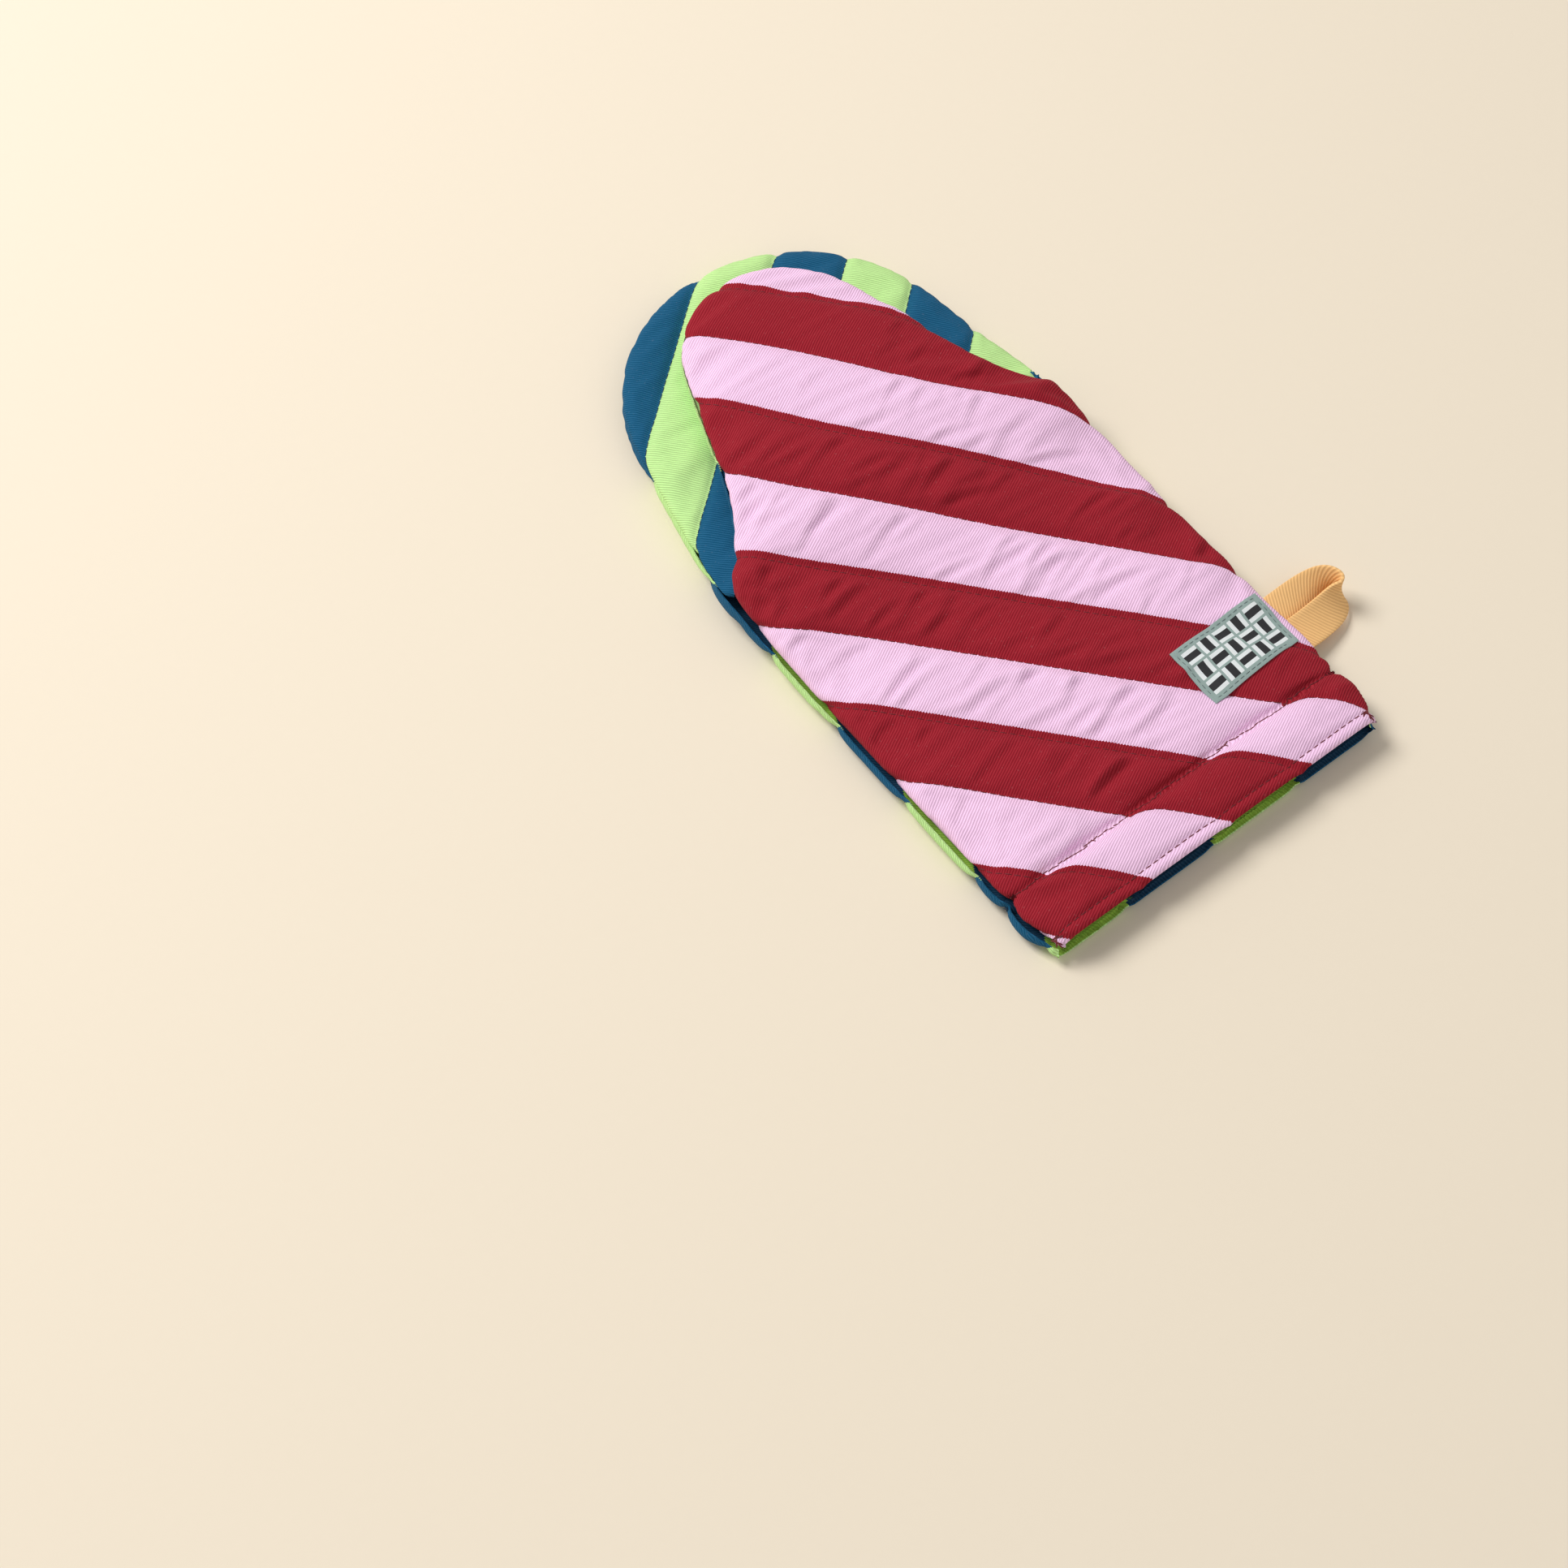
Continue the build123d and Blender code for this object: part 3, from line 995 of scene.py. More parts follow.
    def thicken(self, outer: bpy.types.Material, inner: bpy.types.Material) -> None:
        """Give the cloth its batting and lining, thinner towards the seam.

        Args:
            outer: the outer cloth's material.
            inner: the lining's material, darkened as painted shade on the thumb and finger panels.
        """
        piece, levels = self.piece, 40
        piece.data.materials.clear()
        for material in (outer, inner):
            piece.data.materials.append(material)
        weights = read_values(piece.data, "thick")
        group = piece.vertex_groups.new(name="batting")
        for level in range(1, levels + 1):
            chosen = np.flatnonzero(np.round(weights * levels) == level)
            if len(chosen):
                group.add(chosen.tolist(), level / levels, "REPLACE")
        apply_modifier(
            piece, "SOLIDIFY", thickness=SHELL * MILLIMETRE, offset=-1.0, vertex_group="batting",
            use_rim=True, use_even_offset=False, material_offset=1, material_offset_rim=0,
        )
        piece.vertex_groups.clear()
        soften(piece)

    def row_paths(self) -> dict:
        """The lines that stitches follow on the finished outer cloth.

        Returns:
            For each line, its points and their outward normals, from left to right.
        """
        mesh = self.piece.data
        points, normals, flat = read_points(mesh), read_normals(mesh), self.laid()
        from_edge = read_values(mesh, "from_edge")
        across, along = self.pattern() @ self.rows.across, self.pattern() @ self.rows.along
        paths = {}
        for number, row in enumerate(self.rows.stitched()):
            on = np.flatnonzero((np.abs(across - row) < 0.05) & (from_edge > 0.8))
            on = on[flat[on, 1] > (CUFF_STITCH if self.hem else self.start + 1)]
            if len(on) > 6:
                order = on[np.argsort(along[on])]
                paths[f"row{number}"] = (points[order], normals[order])
        if self.hem:
            for label, y in (("edge", CUFF_STITCH), ("cuff", CUFF_QUILTING)):
                on = np.flatnonzero((np.abs(flat[:, 1] - y) < 0.05) & (from_edge > 0.8))
                order = on[np.argsort(flat[on, 0])]
                paths[label] = (points[order], normals[order])
        return paths

    def build(self, outer: bpy.types.Material, inner: bpy.types.Material) -> dict:
        """Make the panel.

        Args:
            outer: the outer cloth's material.
            inner: the lining's material, darkened as painted shade on the thumb and finger panels.

        Returns:
            The lines that its stitches follow.
        """
        self.lay_out()
        self.swell_out()
        self.turn_out()
        self.stitch_down()
        self.flat_uv()
        paths = self.row_paths()
        self.thicken(outer, inner)
        LOG.info("%s: %d faces", self.name, len(self.piece.data.polygons))
        return paths


def halves(piece: bpy.types.Object, name: str, y: float) -> bpy.types.Object:
    """Cut a piece in two across the mitt and close both cuts.

    Args:
        piece: the piece to cut, which keeps what is nearer the cuff.
        name: the new piece's name.
        y: the cut's distance from the cuff.

    Returns:
        The new piece, beyond the cut.
    """
    other = piece.copy()
    other.data = piece.data.copy()
    other.name = other.data.name = name
    bpy.context.scene.collection.objects.link(other)
    cut(piece, y, -1, clear=True, fill=True)
    cut(other, y, clear=True, fill=True)
    soften(piece)
    soften(other)
    return other


# ---------------------------------------------------------------------------------------------- stitches


def run_along(line: np.ndarray) -> np.ndarray:
    """The length run so far at each point of a line."""
    return np.r_[0, np.cumsum(np.linalg.norm(np.diff(line, axis=0), axis=1))]


def blend_at(at: np.ndarray, runs: np.ndarray, values: np.ndarray) -> np.ndarray:
    """Values of three parts, read between a line's points at a length run or at several."""
    return np.stack([np.interp(at, runs, values[:, axis]) for axis in range(3)], -1)


@dataclass
class Stitching:
    """A run of machine stitches, each a short capsule of thread that dips into the cloth at both ends."""

    length: float = 2.7
    pitch: float = 3.3
    radius: float = 0.21

    def one_stitch(self) -> tuple:
        """One stitch's points and faces, along X from -0.5 to 0.5 with Z up.

        Returns:
            The points and the faces.
        """
        stations = [(-0.5, 0.35), (-0.38, 0.9), (0.0, 1.0), (0.38, 0.9), (0.5, 0.35)]
        sides = 6
        points = []
        for x, share in stations:
            for k in range(sides):
                angle = 2 * math.pi * k / sides
                sag = -1.1 * (2 * x) ** 4
                points.append((x, share * math.cos(angle), share * math.sin(angle) + sag))
        faces = []
        for s in range(len(stations) - 1):
            for k in range(sides):
                a, b = s * sides + k, s * sides + (k + 1) % sides
                faces.append((a, b, b + sides, a + sides))
        faces.append(tuple(range(sides))[::-1])
        faces.append(tuple(range(len(points) - sides, len(points))))
        return np.array(points), faces

    def along(self, name: str, paths: list, material: bpy.types.Material,
              lift: float = 0.05) -> bpy.types.Object:
        """Sew stitches along lines.

        Args:
            name: the new piece's name.
            paths: lines, each its points and their outward normals.
            material: the thread's material.
            lift: how far the stitches stand above the line.

        Returns:
            The stitches as one piece.
        """
        shape, shape_faces = self.one_stitch()
        points, faces = [], []
        for line, normals in paths:
            runs = run_along(line)
            for k in range(int((runs[-1] - 1) / self.pitch)):
                at = 0.5 + (k + 0.5) * self.pitch
                middle, up = blend_at(at, runs, line), blend_at(at, runs, normals)
                ahead = blend_at(at + self.length / 2, runs, line)
                forward = ahead - blend_at(at - self.length / 2, runs, line)
                size = np.linalg.norm(forward)
                if size < 0.5:
                    continue
                forward /= size
                up -= forward * (up @ forward)
                up /= np.linalg.norm(up)
                side = np.cross(up, forward)
                body = (
                    shape[:, :1] * forward * self.length
                    + shape[:, 1:2] * side * self.radius
                    + shape[:, 2:] * up * self.radius
                )
                start = len(points)
                points.extend(middle + up * lift + body)
                faces.extend(tuple(start + i for i in face) for face in shape_faces)
        mesh = bpy.data.meshes.new(name)
        mesh.from_pydata([tuple(p) for p in to_frame(np.array(points))], [], faces)
        mesh.materials.append(material)
        piece = bpy.data.objects.new(name, mesh)
        bpy.context.scene.collection.objects.link(piece)
        edit_whole(piece, bpy.ops.mesh.normals_make_consistent, inside=False)
        bpy.ops.object.shade_smooth()
        return piece


def part_of(paths: dict, low: float, high: float) -> list:
    """The stretches of lines between two distances from the cuff.

    Args:
        paths: lines by name, each its points and their normals.
        low: the nearer distance.
        high: the farther distance.

    Returns:
        The stretches that hold at least a few points.
    """
    kept = []
    for line, normals in paths.values():
        on = (line[:, 1] >= low) & (line[:, 1] < high)
        if on.sum() > 4:
            kept.append((line[on], normals[on]))
    return kept


# ---------------------------------------------------------------------------------------------- the mitt


def table_of(*pairs: tuple) -> Callable:
    """Make a smooth profile.

    Args:
        *pairs: distances from the cuff, each with the height there.

    Returns:
        A function that gives the height at distances from the cuff.
    """
    at, heights = np.array(pairs, float).T

    def profile(y: np.ndarray) -> np.ndarray:
        """Read the profile.

        Args:
            y: distances from the cuff.

        Returns:
            The height at each one.
        """
        y = np.asarray(y, float)
        offsets = np.linspace(-9, 9, 7)
        return np.mean([np.interp(y + o, at, heights) for o in offsets], axis=0)

    return profile


def thumb_drift(x: np.ndarray, y: np.ndarray) -> np.ndarray:
    """How far the thumb panel's stripes are pulled towards the fingertips, at points of the cut cloth.

    Args:
        x: how far the points are from the mitt's middle line.
        y: how far they are from the cuff.

    Returns:
        The pull at each point.
    """
    tip = 5.7 * smooth(y, 200, 262)
    fold = -4.4 * np.exp(-(((x + 70) / 42) ** 2) - ((y - 176) / 34) ** 2)
    cuff = 4.6 * (1 - smooth(y, 16, 27))
    return tip + fold + cuff


THUMB_ROWS = Rows(-48.0, -0.5, (0.0, CELL))
GUSSET_ROWS = Rows(40.0, 95.6)
FINGER_ROWS = Rows(44.0, 57.0)

TOP = table_of(
    (-20, 12.8), (0, 13.2), (60, 14.3), (120, 15.8), (150, 18.2), (180, 24.0), (200, 26.2), (230, 27.0),
    (300, 26.4),
)
FLOOR = table_of((-20, 1.5), (320, 1.5))
TOP_SEAM = table_of((-20, 7.2), (130, 7.4), (160, 9.5), (182, 15.0), (205, 20.4), (320, 20.4))
LOW_SEAM = table_of((-20, 7.5), (130, 7.8), (150, 9.0), (160, 9.7), (182, 13.6), (208, 8.0), (320, 7.6))
FINGER_LID = table_of((170, 14.2), (182, 14.2), (200, 12.6), (320, 12.2))
THUMB_SOLE = table_of((170, 15.1), (182, 15.1), (196, 16.6), (320, 16.8))


@dataclass
class Mitt:
    """The mitt's four panels, with their stitches and the trimmings sewn to them."""

    split: float = 147.0
    fill: float = 0.5

    def panels(self) -> tuple:
        """Describe the four panels.

        Returns:
            The thumb panel, the finger panel and the gusset's lower and upper halves, not built yet.
        """
        thumb_panel = QuiltedPanel(
            "thumb_panel_back", Facing.UP, thumb_outline(-75.8, 78.0), THUMB_ROWS, TOP, TOP_SEAM, 0.4,
            hem=True, puff=2.7, creases=110, pull=0.09, drift=thumb_drift,
        )
        finger_panel = QuiltedPanel(
            "finger_panel", Facing.DOWN, wide_outline(-78.4, 78.4), FINGER_ROWS, FLOOR, LOW_SEAM, 0.3,
            hem=True, puff=1.8, growth=0.008, pull=-0.02, resting=True,
        )
        finger_half = QuiltedPanel(
            "gusset_finger_half", Facing.UP, wide_outline(-78.2, 78.4), GUSSET_ROWS, FINGER_LID, LOW_SEAM,
            CROTCH, belly=1.4, puff=1.5, growth=0.008, pull=-0.015,
        )
        thumb_half = QuiltedPanel(
            "gusset_thumb_half", Facing.DOWN, thumb_outline(-75.8, 78.0, 1.3), GUSSET_ROWS, THUMB_SOLE,
            TOP_SEAM, CROTCH, belly=1.2, roll=7.0, puff=1.0, growth=0.006, pull=-0.01,
        )
        return thumb_panel, finger_panel, finger_half, thumb_half

    def build(self) -> None:
        """Make and dress every panel and its stitches, attach the gusset's finger half and its stitches to
        the hand's body and bake the rest in place, and add the trimmings.
        """
        thumb, finger, lower, upper = self.panels()
        cloth, gusset, underside, shaded_lining_green, shaded_lining_pink = [
            Twill(name, even, odd, rows.offset, ribs, rib_shade_and_flecks=rib_shade_and_flecks).material()
            for name, even, odd, rows, ribs, rib_shade_and_flecks in (
                ("pink_striped_twill", CRIMSON, PINK, THUMB_ROWS, 75.5, 1.0),
                ("green_striped_twill", LIME, NAVY, GUSSET_ROWS, -92.0, 1.0),
                ("green_striped_twill_underside", NAVY, LIME, FINGER_ROWS, -92.0, 1.0),
                # The two linings take the darker colours, painted shade for the inside of the mouth.
                ("painted_shade_lining_green", SHADED_NAVY, SHADED_LIME, FINGER_ROWS, -92.0, 0.6),
                ("painted_shade_lining_pink", SHADED_CRIMSON, SHADED_PINK, Rows(0.0, 0.0), 75.5, 0.6),
            )
        ]
        crimson_thread = Thread("crimson_thread", linear(120, 14, 30)).material()
        navy_thread = Thread("navy_thread", linear(20, 52, 78)).material()
        thumb_paths = thumb.build(cloth, shaded_lining_pink)
        finger_paths = finger.build(underside, shaded_lining_green)
        lower_paths = lower.build(gusset, gusset)
        upper_paths = upper.build(gusset, gusset)
        back = thumb.piece
        front = halves(back, "thumb_panel_front", self.split)
        rows_back, rows_front, rows_under, rows_lower, rows_upper = [
            Stitching().along(name, part_of(paths, low, high), thread)
            for name, paths, low, high, thread in (
                ("quilting_stitches_back", thumb_paths, -5, self.split, crimson_thread),
                ("quilting_stitches_front", thumb_paths, self.split, 400, crimson_thread),
                ("quilting_stitches_underside", finger_paths, -5, 400, navy_thread),
                ("gusset_stitches_finger_half", lower_paths, 0, 400, navy_thread),
                ("gusset_stitches_thumb_half", upper_paths, 0, 400, navy_thread),
            )
        ]
        self.attach((back, rows_back, finger.piece, rows_under), (front, rows_front),
                    (lower.piece, rows_lower), (upper.piece, rows_upper))
        self.stand_for()
        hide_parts("thumb_panel_quilting_cuff", "cuff_stitching_thumb_side",
                    "thumb_panel_quilting_palm")
        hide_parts("thumb_panel_quilting_tip")
        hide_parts("finger_panel_quilting_cuff", "finger_panel_quilting_hand",
                    "cuff_stitching_finger_side")
        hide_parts("gusset_quilting_finger_half")
        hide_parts("gusset_quilting_thumb_half")
        self.trim(surface_of(back), crimson_thread)

    def trim(self, tree: BVHTree, thread: bpy.types.Material) -> None:
        """Add the badge, the hanging loop and the tacks at the cuff's corners.

        Args:
            tree: the thumb panel's surface.
            thread: the corner tacks' material.
        """
        grey = Thread("grey_thread", linear(120, 140, 138)).material()
        badge, badge_stitches = Badge().build(tree, WovenBadge().material(), grey)
        tape = Twill("tan_twill_tape", TAN, TAN, 0.0, 62.0, 1.15, plain=True, rib_shade_and_flecks=0.5).material()
        loop = HangingLoop().build(tape)
        tacks = [
            CornerTack(x, name).build(tree, thread)
            for x, name in ((-72.6, "corner_tack_left"), (72.4, "corner_tack_right"))
        ]
        for piece in (badge, badge_stitches, *tacks):
            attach(piece, "cuff")
        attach(loop, "loop")
        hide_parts("label")
        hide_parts("label_stitching")
        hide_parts("hanging_loop")
        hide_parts("bar_tack_left")
        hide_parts("bar_tack_right")

    def at(self, y: float) -> tuple:
        """A frame point on the mitt's middle line at a distance from the cuff."""
        return tuple(to_frame(np.array([0.0, y, 0.0])))

    def attach(self, wrist: tuple, thumb: tuple, hand: tuple, crotch: tuple) -> None:
        """Attach the hand's pieces to the hand's body, and bake every other piece's placement into its mesh.

        Args:
            wrist: the pieces at the wrist.
            thumb: the thumb's outer pieces.
            hand: the pieces that stay with the hand.
            crotch: the thumb's inner pieces.
        """
        for piece in wrist:
            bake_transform(piece)
        for piece in thumb:
            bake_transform(piece)
        for piece in hand:
            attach(piece, "hand")
        for piece in crotch:
            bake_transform(piece)

    def stand_for(self) -> None:
        """Hide the CAD nodes that the panels stand in for.
        """

        def layers(panel: str, *parts: str) -> list:
            """The nodes of a panel's three layers in some of its parts."""
            return [f"{panel}_{layer}_{part}" for layer in ("cloth", "batting", "lining") for part in parts]

        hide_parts(*layers("thumb_panel", "cuff", "palm"), "cuff_hem_thumb_side",
                    "side_seam_left_cuff", "side_seam_right_cuff")
        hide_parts(*layers("thumb_panel", "tip"), "thumb_seam")
        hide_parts(*layers("finger_panel", "cuff", "hand"), "cuff_hem_finger_side",
                    "side_seam_left_palm", "side_seam_right_palm", "finger_seam")
        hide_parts(*layers("gusset_finger_half", "hand"), "gusset_fold_cloth",
                    "gusset_fold_batting", "gusset_fold_lining")
        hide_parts(*layers("gusset_thumb_half", "tip"))


# ---------------------------------------------------------------------------------------------- trimmings


@dataclass(frozen=True)
class WovenBadge:
    """A woven badge: black and white bars in small squares, and grey-green between and around them."""

    name: str = "badge_weave"
    columns: float = 5.0
    rows: float = 3.0

    def material(self) -> bpy.types.Material:
        """Make the weave.

        Returns:
            A material that reads the badge's own UV map, from 0 to 1.
        """
        n = Nodes(self.name)
        uv = n.node("ShaderNodeUVMap", uv_map="UVMap")
        split = n.node("ShaderNodeSeparateXYZ")
        n.feed(split.inputs[0], uv.outputs[0])
        x, y = split.outputs[0], split.outputs[1]
        inner_x = n.math("MULTIPLY", n.math("SUBTRACT", x, 0.055), self.columns / 0.89)
        inner_y = n.math("MULTIPLY", n.math("SUBTRACT", y, 0.095), self.rows / 0.81)
        cell_x, cell_y = n.math("FRACT", inner_x), n.math("FRACT", inner_y)
        cell = n.math("ADD", n.math("FLOOR", inner_x), n.math("FLOOR", inner_y))
        parity = n.math("FLOORED_MODULO", cell, 2.0)
        bars_x = n.math("GREATER_THAN", n.math("PINGPONG", n.math("SUBTRACT", cell_x, 0.5), 0.5), 0.2)
        bars_y = n.math("GREATER_THAN", n.math("PINGPONG", n.math("SUBTRACT", cell_y, 0.5), 0.5), 0.2)
        bars = n.math(
            "ADD", n.math("MULTIPLY", bars_x, parity),
            n.math("MULTIPLY", bars_y, n.math("SUBTRACT", 1.0, parity)),
        )
        edge_x = n.math("LESS_THAN", n.math("PINGPONG", cell_x, 0.5), 0.07)
        edge_y = n.math("LESS_THAN", n.math("PINGPONG", cell_y, 0.5), 0.07)
        border = n.math("MAXIMUM", edge_x, edge_y)
        for place, end in ((inner_x, self.columns), (inner_y, self.rows)):
            border = n.math("MAXIMUM", border, n.math("LESS_THAN", place, 0.0))
            border = n.math("MAXIMUM", border, n.math("GREATER_THAN", place, end))
        face = n.mix(bars, linear(32, 33, 38), linear(246, 252, 254))
        colour = n.mix(border, face, linear(158, 180, 176))
        scaled = n.node("ShaderNodeMapping")
        scaled.inputs["Scale"].default_value = (86, 150, 1)
        n.feed(scaled.inputs[0], uv.outputs[0])
        weave = n.node("ShaderNodeTexNoise")
        weave.inputs["Scale"].default_value = 1.0
        n.feed(weave.inputs["Vector"], scaled.outputs[0])
        pick = n.math("SINE", n.math("MULTIPLY", y, 2 * math.pi * 62))
        ribbed = n.math("MULTIPLY_ADD", pick, 0.03, 0.87)
        tone = n.math("ADD", n.math("MULTIPLY", weave.outputs[0], 0.22), ribbed)
        n.shader.inputs["Roughness"].default_value = 0.62
        n.shader.inputs["Sheen Weight"].default_value = 0.1
        height = n.math("ADD", n.math("MULTIPLY", pick, 0.4), weave.outputs[0])
        return n.finish(n.hue(colour, tone), height, 0.00018, 0.7)


def surface_of(*pieces: bpy.types.Object) -> BVHTree:
    """A tree of pieces' faces in frame metres, for laying things on them.

    Args:
        *pieces: the mesh objects.

    Returns:
        The tree.
    """
    points, faces = [], []
    for piece in pieces:
        start = len(points)
        points.extend(v.co.copy() for v in piece.data.vertices)
        faces.extend([start + i for i in polygon.vertices] for polygon in piece.data.polygons)
    return BVHTree.FromPolygons(points, faces)


def drop_on(tree: BVHTree, plan: np.ndarray) -> np.ndarray:
    """Let plan points down onto a surface.

    Args:
        tree: the surface.
        plan: the points.

    Returns:
        The height in millimetres at which each one touches, or the lowest one's where it misses.
    """
    heights = []
    for point in to_frame(np.column_stack([plan, np.full(len(plan), 60.0)])):
        hit = tree.ray_cast(Vector(point), Vector((0, 0, -1)))[0]
        heights.append(hit.z / MILLIMETRE if hit is not None else np.nan)
    heights = np.array(heights)
    bad = np.isnan(heights)
    if bad.any() and not bad.all():
        heights[bad] = heights[~bad].min()
    return heights


@dataclass
class Badge:
    """The woven badge by the seam, sewn down near its edges."""

    corners: tuple = ((31.4, 38.6), (73.9, 41.0), (74.8, 65.6), (31.4, 63.7))
    width: float = 43.0
    depth: float = 25.0
    thickness: float = 0.5
    stitch_inset: float = 1.5

    def spot(self, u: np.ndarray, v: np.ndarray) -> np.ndarray:
        """Plan points at shares along and across the badge.

        Args:
            u: shares of its width.
            v: shares of its depth.

        Returns:
            The plan points, one for each row.
        """
        a, b, c, d = (np.array(corner) for corner in self.corners)
        u, v = u[:, None], v[:, None]
        return a * (1 - u) * (1 - v) + b * u * (1 - v) + c * u * v + d * (1 - u) * v

    def build(self, tree: BVHTree, weave: bpy.types.Material, thread: bpy.types.Material) -> tuple:
        """Make the badge and its stitches.

        Args:
            tree: the panel that it lies on.
            weave: the badge's material.
            thread: its stitches' material.

        Returns:
            The badge and its stitches.
        """
        piece = new_grid("woven_badge", 52, 30)
        mesh = piece.data
        flat = gather(mesh.vertices, "co", 3) + 0.5
        plan = self.spot(flat[:, 0], flat[:, 1])
        height = drop_on(tree, plan)
        near = ((plan[:, None, :] - plan[None, :, :]) ** 2).sum(2)
        weights = np.exp(-near / 16.0)
        eased = (weights @ height) / weights.sum(1)
        top = np.maximum(eased, 0.7 * height + 0.3 * eased + 0.1) + 0.3
        write_points(mesh, np.column_stack([plan, top + self.thickness * 0.6]))
        apply_modifier(piece, "SOLIDIFY", thickness=self.thickness * MILLIMETRE, offset=-1.0)
        apply_modifier(piece, "BEVEL", width=0.12 * MILLIMETRE, segments=2, limit_method="ANGLE")
        mesh.materials.append(weave)
        soften(piece)
        du, dv = self.stitch_inset / self.width, self.stitch_inset / self.depth
        rounds = [(du, dv), (1 - du, dv), (1 - du, 1 - dv), (du, 1 - dv), (du, dv)]
        paths = []
        laid = surface_of(piece)
        for (u0, v0), (u1, v1) in zip(rounds, rounds[1:]):
            shares = np.linspace(0, 1, 40)
            line = self.spot(u0 + (u1 - u0) * shares, v0 + (v1 - v0) * shares)
            height = drop_on(laid, line)
            paths.append((np.column_stack([line, height]), np.tile([0.0, 0.0, 1.0], (40, 1))))
        sewn = Stitching(length=2.2, pitch=2.8, radius=0.2).along("badge_stitches", paths, thread, lift=0.02)
        return piece, sewn


@dataclass
class HangingLoop:
    """A twill tape whose two ends are sewn side by side into the seam, and which stands up as it turns."""

    tape: float = 14.0
    thickness: float = 1.3
    route: tuple = (
        (75.5, 56.6, 8.2), (85.0, 57.2, 7.6), (94.0, 57.4, 7.4), (102.0, 56.6, 7.4), (105.6, 52.8, 7.6),
        (104.4, 48.6, 7.2), (97.0, 46.2, 6.6), (87.0, 45.2, 6.8), (75.5, 44.8, 8.0),
    )
    lean: tuple = (80.0, 70.0, 60.0, 34.0, 8.0, 26.0, 58.0, 70.0, 80.0)

    def build(self, cloth: bpy.types.Material) -> bpy.types.Object:
        """Make the loop.

        Args:
            cloth: the tape's material.

        Returns:
            The loop.
        """
        knots = np.array(self.route, float)
        spread = np.linspace(0, 1, len(knots))
        fine = np.linspace(0, 1, 121)
        line = blend_at(fine, spread, knots)
        lean = np.radians(np.interp(fine, spread, self.lean))
        reach = 12
        weights = np.exp(-0.5 * (np.arange(-reach, reach + 1) / 5.5) ** 2)
        weights /= weights.sum()
        for axis in range(3):
            padded = np.pad(line[:, axis], reach, mode="reflect", reflect_type="odd")
            line[:, axis] = np.convolve(padded, weights, "valid")
        lean = np.convolve(np.pad(lean, reach, mode="edge"), weights, "valid")
        runs, count = run_along(line), 96
        at = np.linspace(0, runs[-1], count + 1)
        line = blend_at(at, runs, line)
        lean = np.interp(at, runs, lean)
        ahead = np.gradient(line, axis=0)
        ahead /= np.linalg.norm(ahead, axis=1)[:, None]
        wide = np.column_stack([np.zeros(count + 1), np.sin(lean), np.cos(lean)])
        wide -= ahead * (wide * ahead).sum(1)[:, None]
        wide /= np.linalg.norm(wide, axis=1)[:, None]
        piece = new_grid("hanging_loop_tape", count, 8)
        mesh = piece.data
        flat = gather(mesh.vertices, "co", 3)
        station = np.clip(np.round((flat[:, 0] + 0.5) * count).astype(int), 0, count)
        share = flat[:, 1]
        cup = np.cross(ahead, wide)[station] * (0.5 * (1 - (2 * share) ** 2))[:, None]
        points = line[station] + wide[station] * (share * self.tape)[:, None] + cup
        points[:, 2] = np.maximum(points[:, 2], 0.9)
        write_points(mesh, points)
        write_uv(mesh, np.column_stack([at[station], (share + 0.5) * self.tape]) * MILLIMETRE)
        apply_modifier(piece, "SOLIDIFY", thickness=self.thickness * MILLIMETRE, offset=0.0)
        apply_modifier(piece, "BEVEL", width=0.35 * MILLIMETRE, segments=2, limit_method="ANGLE")
        mesh.materials.append(cloth)
        soften(piece)
        return piece


@dataclass
class CornerTack:
    """A few crossed stitches that hold one corner of the cuff."""

    x: float
    name: str

    def build(self, tree: BVHTree, thread: bpy.types.Material) -> bpy.types.Object:
        """Sew the corner.

        Args:
            tree: the panels that it holds.
            thread: the thread's material.

        Returns:
            The stitches.
        """
        paths = []
        inward = -math.copysign(1.0, self.x)
        for turn, y, shift in ((28, 3.0, 0.0), (-34, 3.4, 0.4), (4, 2.2, 0.2), (62, 4.0, 0.8)):
            angle = math.radians(90 + turn * inward)
            step = np.linspace(-3.1, 3.1, 9)[:, None] * np.array([[math.cos(angle), math.sin(angle)]])
            line = np.array([[self.x + inward * shift, y + 0.4]]) + step
            height = drop_on(tree, line)
            paths.append((np.column_stack([line, height]), np.tile([0.0, 0.0, 1.0], (9, 1))))
        return Stitching(length=4.6, pitch=5.1, radius=0.3).along(self.name, paths, thread, lift=0.12)


# ---------------------------------------------------------------------------------------------- the studio


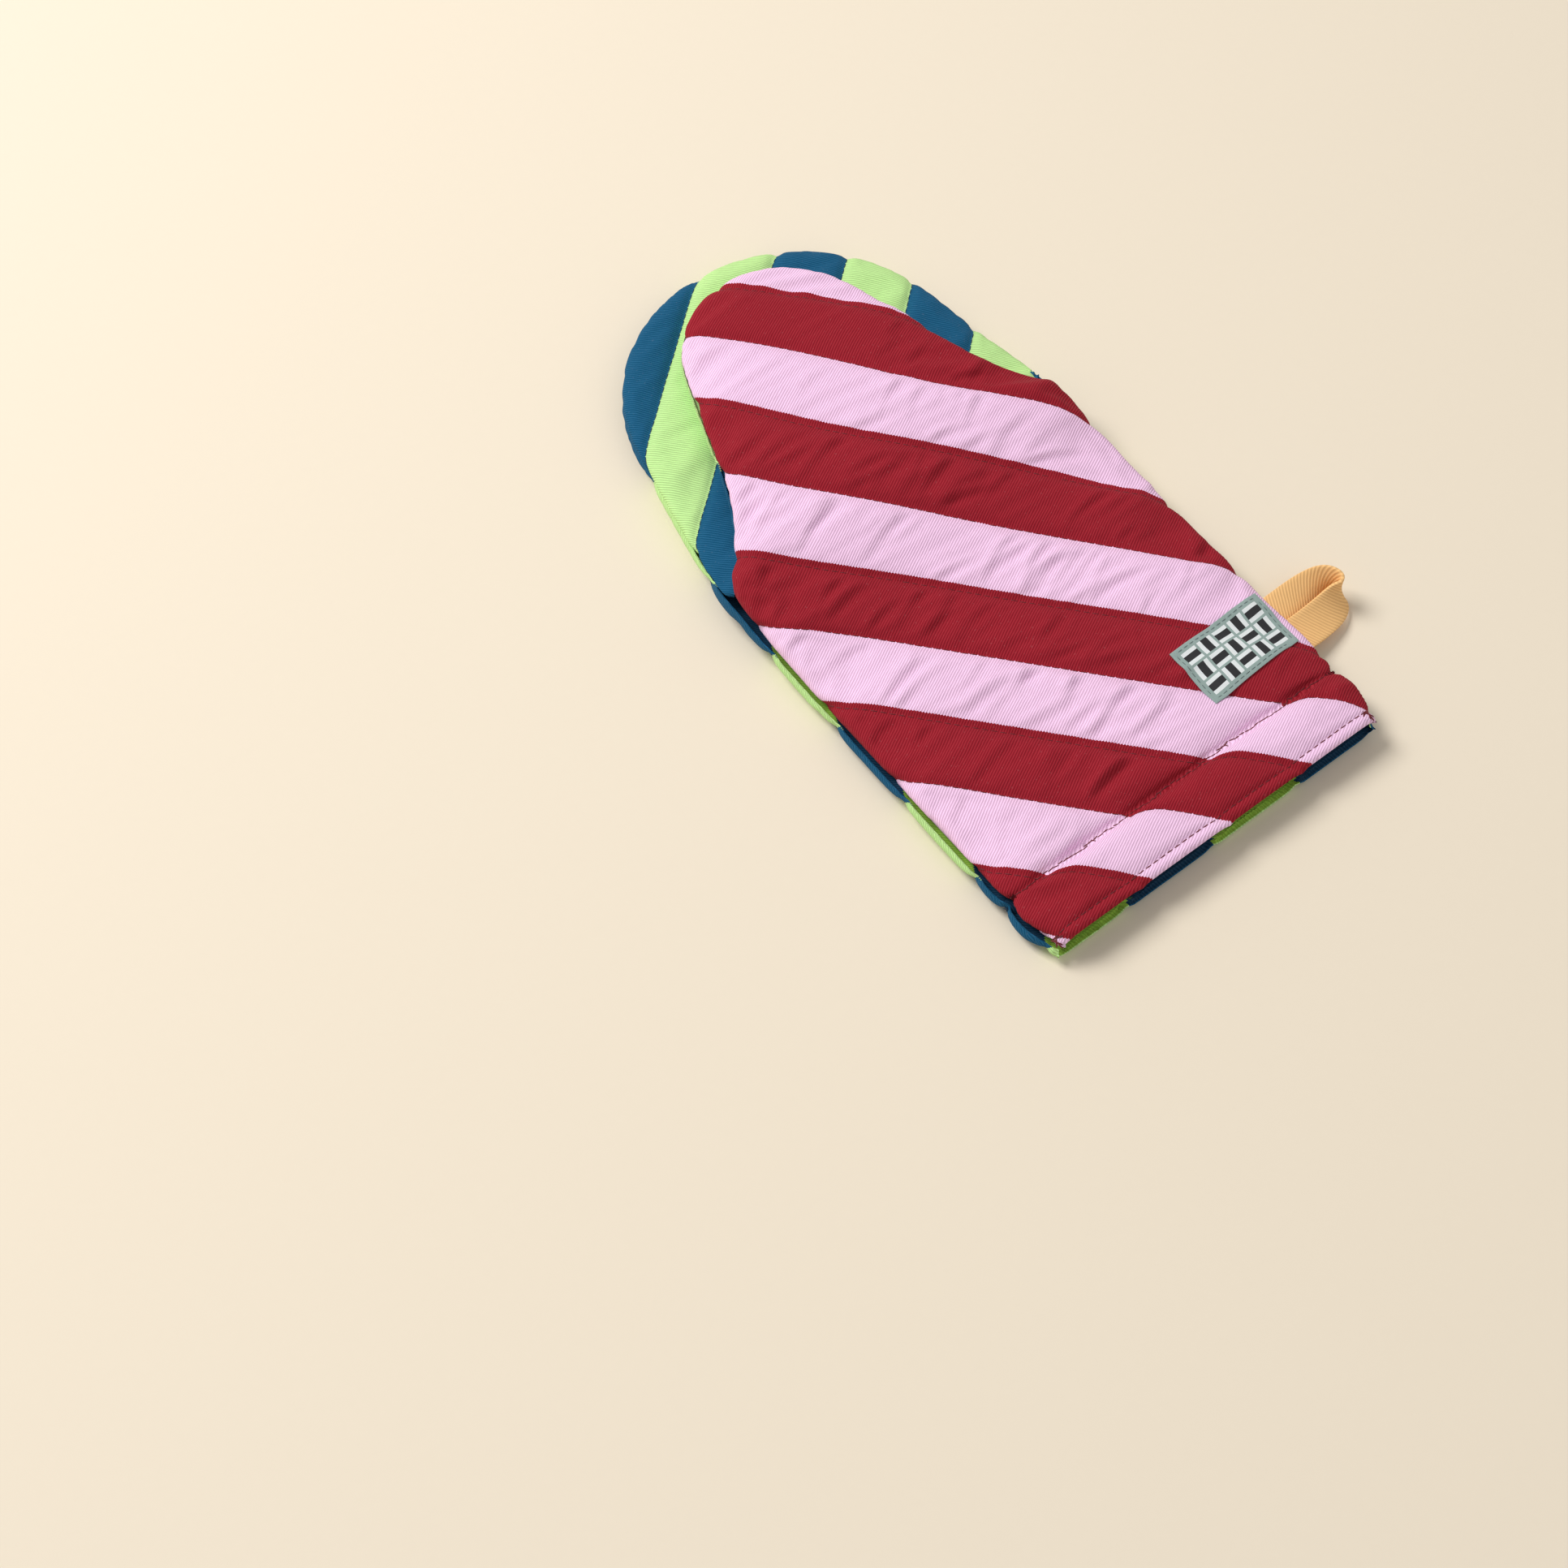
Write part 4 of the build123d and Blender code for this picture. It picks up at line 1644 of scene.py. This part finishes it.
@dataclass
class Studio:
    """The pale table, the soft lights and the camera."""

    camera_place: tuple = (-410.6, -281.9, 866.0)
    camera_target: tuple = (-104.1, 113.2, 0.0)
    lens: float = 64.9
    table_size: float = 5.0

    def build(self) -> None:
        """Make the table, the lights and the camera."""
        self.table()
        self.light("key_light", (-760, 1620, 1900), 1.1, 50.0, (1.0, 0.985, 0.965))
        self.light("fill_light", (300, -1500, 1500), 1.8, 5.0, (1.0, 0.98, 0.95))
        world = bpy.data.worlds.new("studio_air")
        world.use_nodes = True
        sky = world.node_tree.nodes["Background"]
        sky.inputs[0].default_value = (1.0, 0.985, 0.965, 1)
        sky.inputs[1].default_value = 0.37
        bpy.context.scene.world = world
        bpy.context.scene.view_settings.view_transform = "Standard"
        self.camera()

    def table(self) -> None:
        """Make the table top, which reaches past the camera's view."""
        bpy.ops.object.select_all(action="DESELECT")
        bpy.ops.mesh.primitive_plane_add(size=self.table_size, location=(0, 0, 0))
        top = bpy.context.object
        top.name = "table"
        top.data.materials.append(Backdrop(linear(244, 232, 212)).material())
        top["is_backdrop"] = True

    def light(self, name: str, place: tuple, size: float, power: float, colour: tuple) -> None:
        """Hang one soft square light that faces the mitt.

        Args:
            name: the light's name.
            place: where it hangs, in plan millimetres.
            size: its width, in metres.
            power: its power, in watts.
            colour: its colour.
        """
        data = bpy.data.lights.new(name, "AREA")
        data.shape, data.size, data.energy, data.color = "SQUARE", size, power, colour
        lamp = bpy.data.objects.new(name, data)
        bpy.context.scene.collection.objects.link(lamp)
        lamp.location = to_frame(np.array(place, float))
        aim = Vector(to_frame(np.array([0.0, 150.0, 0.0]))) - lamp.location
        lamp.rotation_euler = aim.to_track_quat("-Z", "Y").to_euler()

    def camera(self) -> None:
        """Set up the camera."""
        data = bpy.data.cameras.new("camera")
        data.lens, data.sensor_width = self.lens, 36.0
        data.clip_start, data.clip_end = 0.01, 50.0
        camera = bpy.data.objects.new("camera", data)
        bpy.context.scene.collection.objects.link(camera)
        camera.location = to_frame(np.array(self.camera_place))
        aim = Vector(to_frame(np.array(self.camera_target))) - camera.location
        camera.rotation_euler = aim.to_track_quat("-Z", "Y").to_euler()
        bpy.context.scene.camera = camera


def main() -> None:
    """Build the scene in order and report each piece."""
    bpy.ops.object.select_all(action="DESELECT")
    Studio().build()
    Mitt().build()
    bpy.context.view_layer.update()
    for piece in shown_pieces():
        LOG.info("piece %s: %d faces", piece.name, len(piece.data.polygons))


if __name__ == "__main__":
    main()
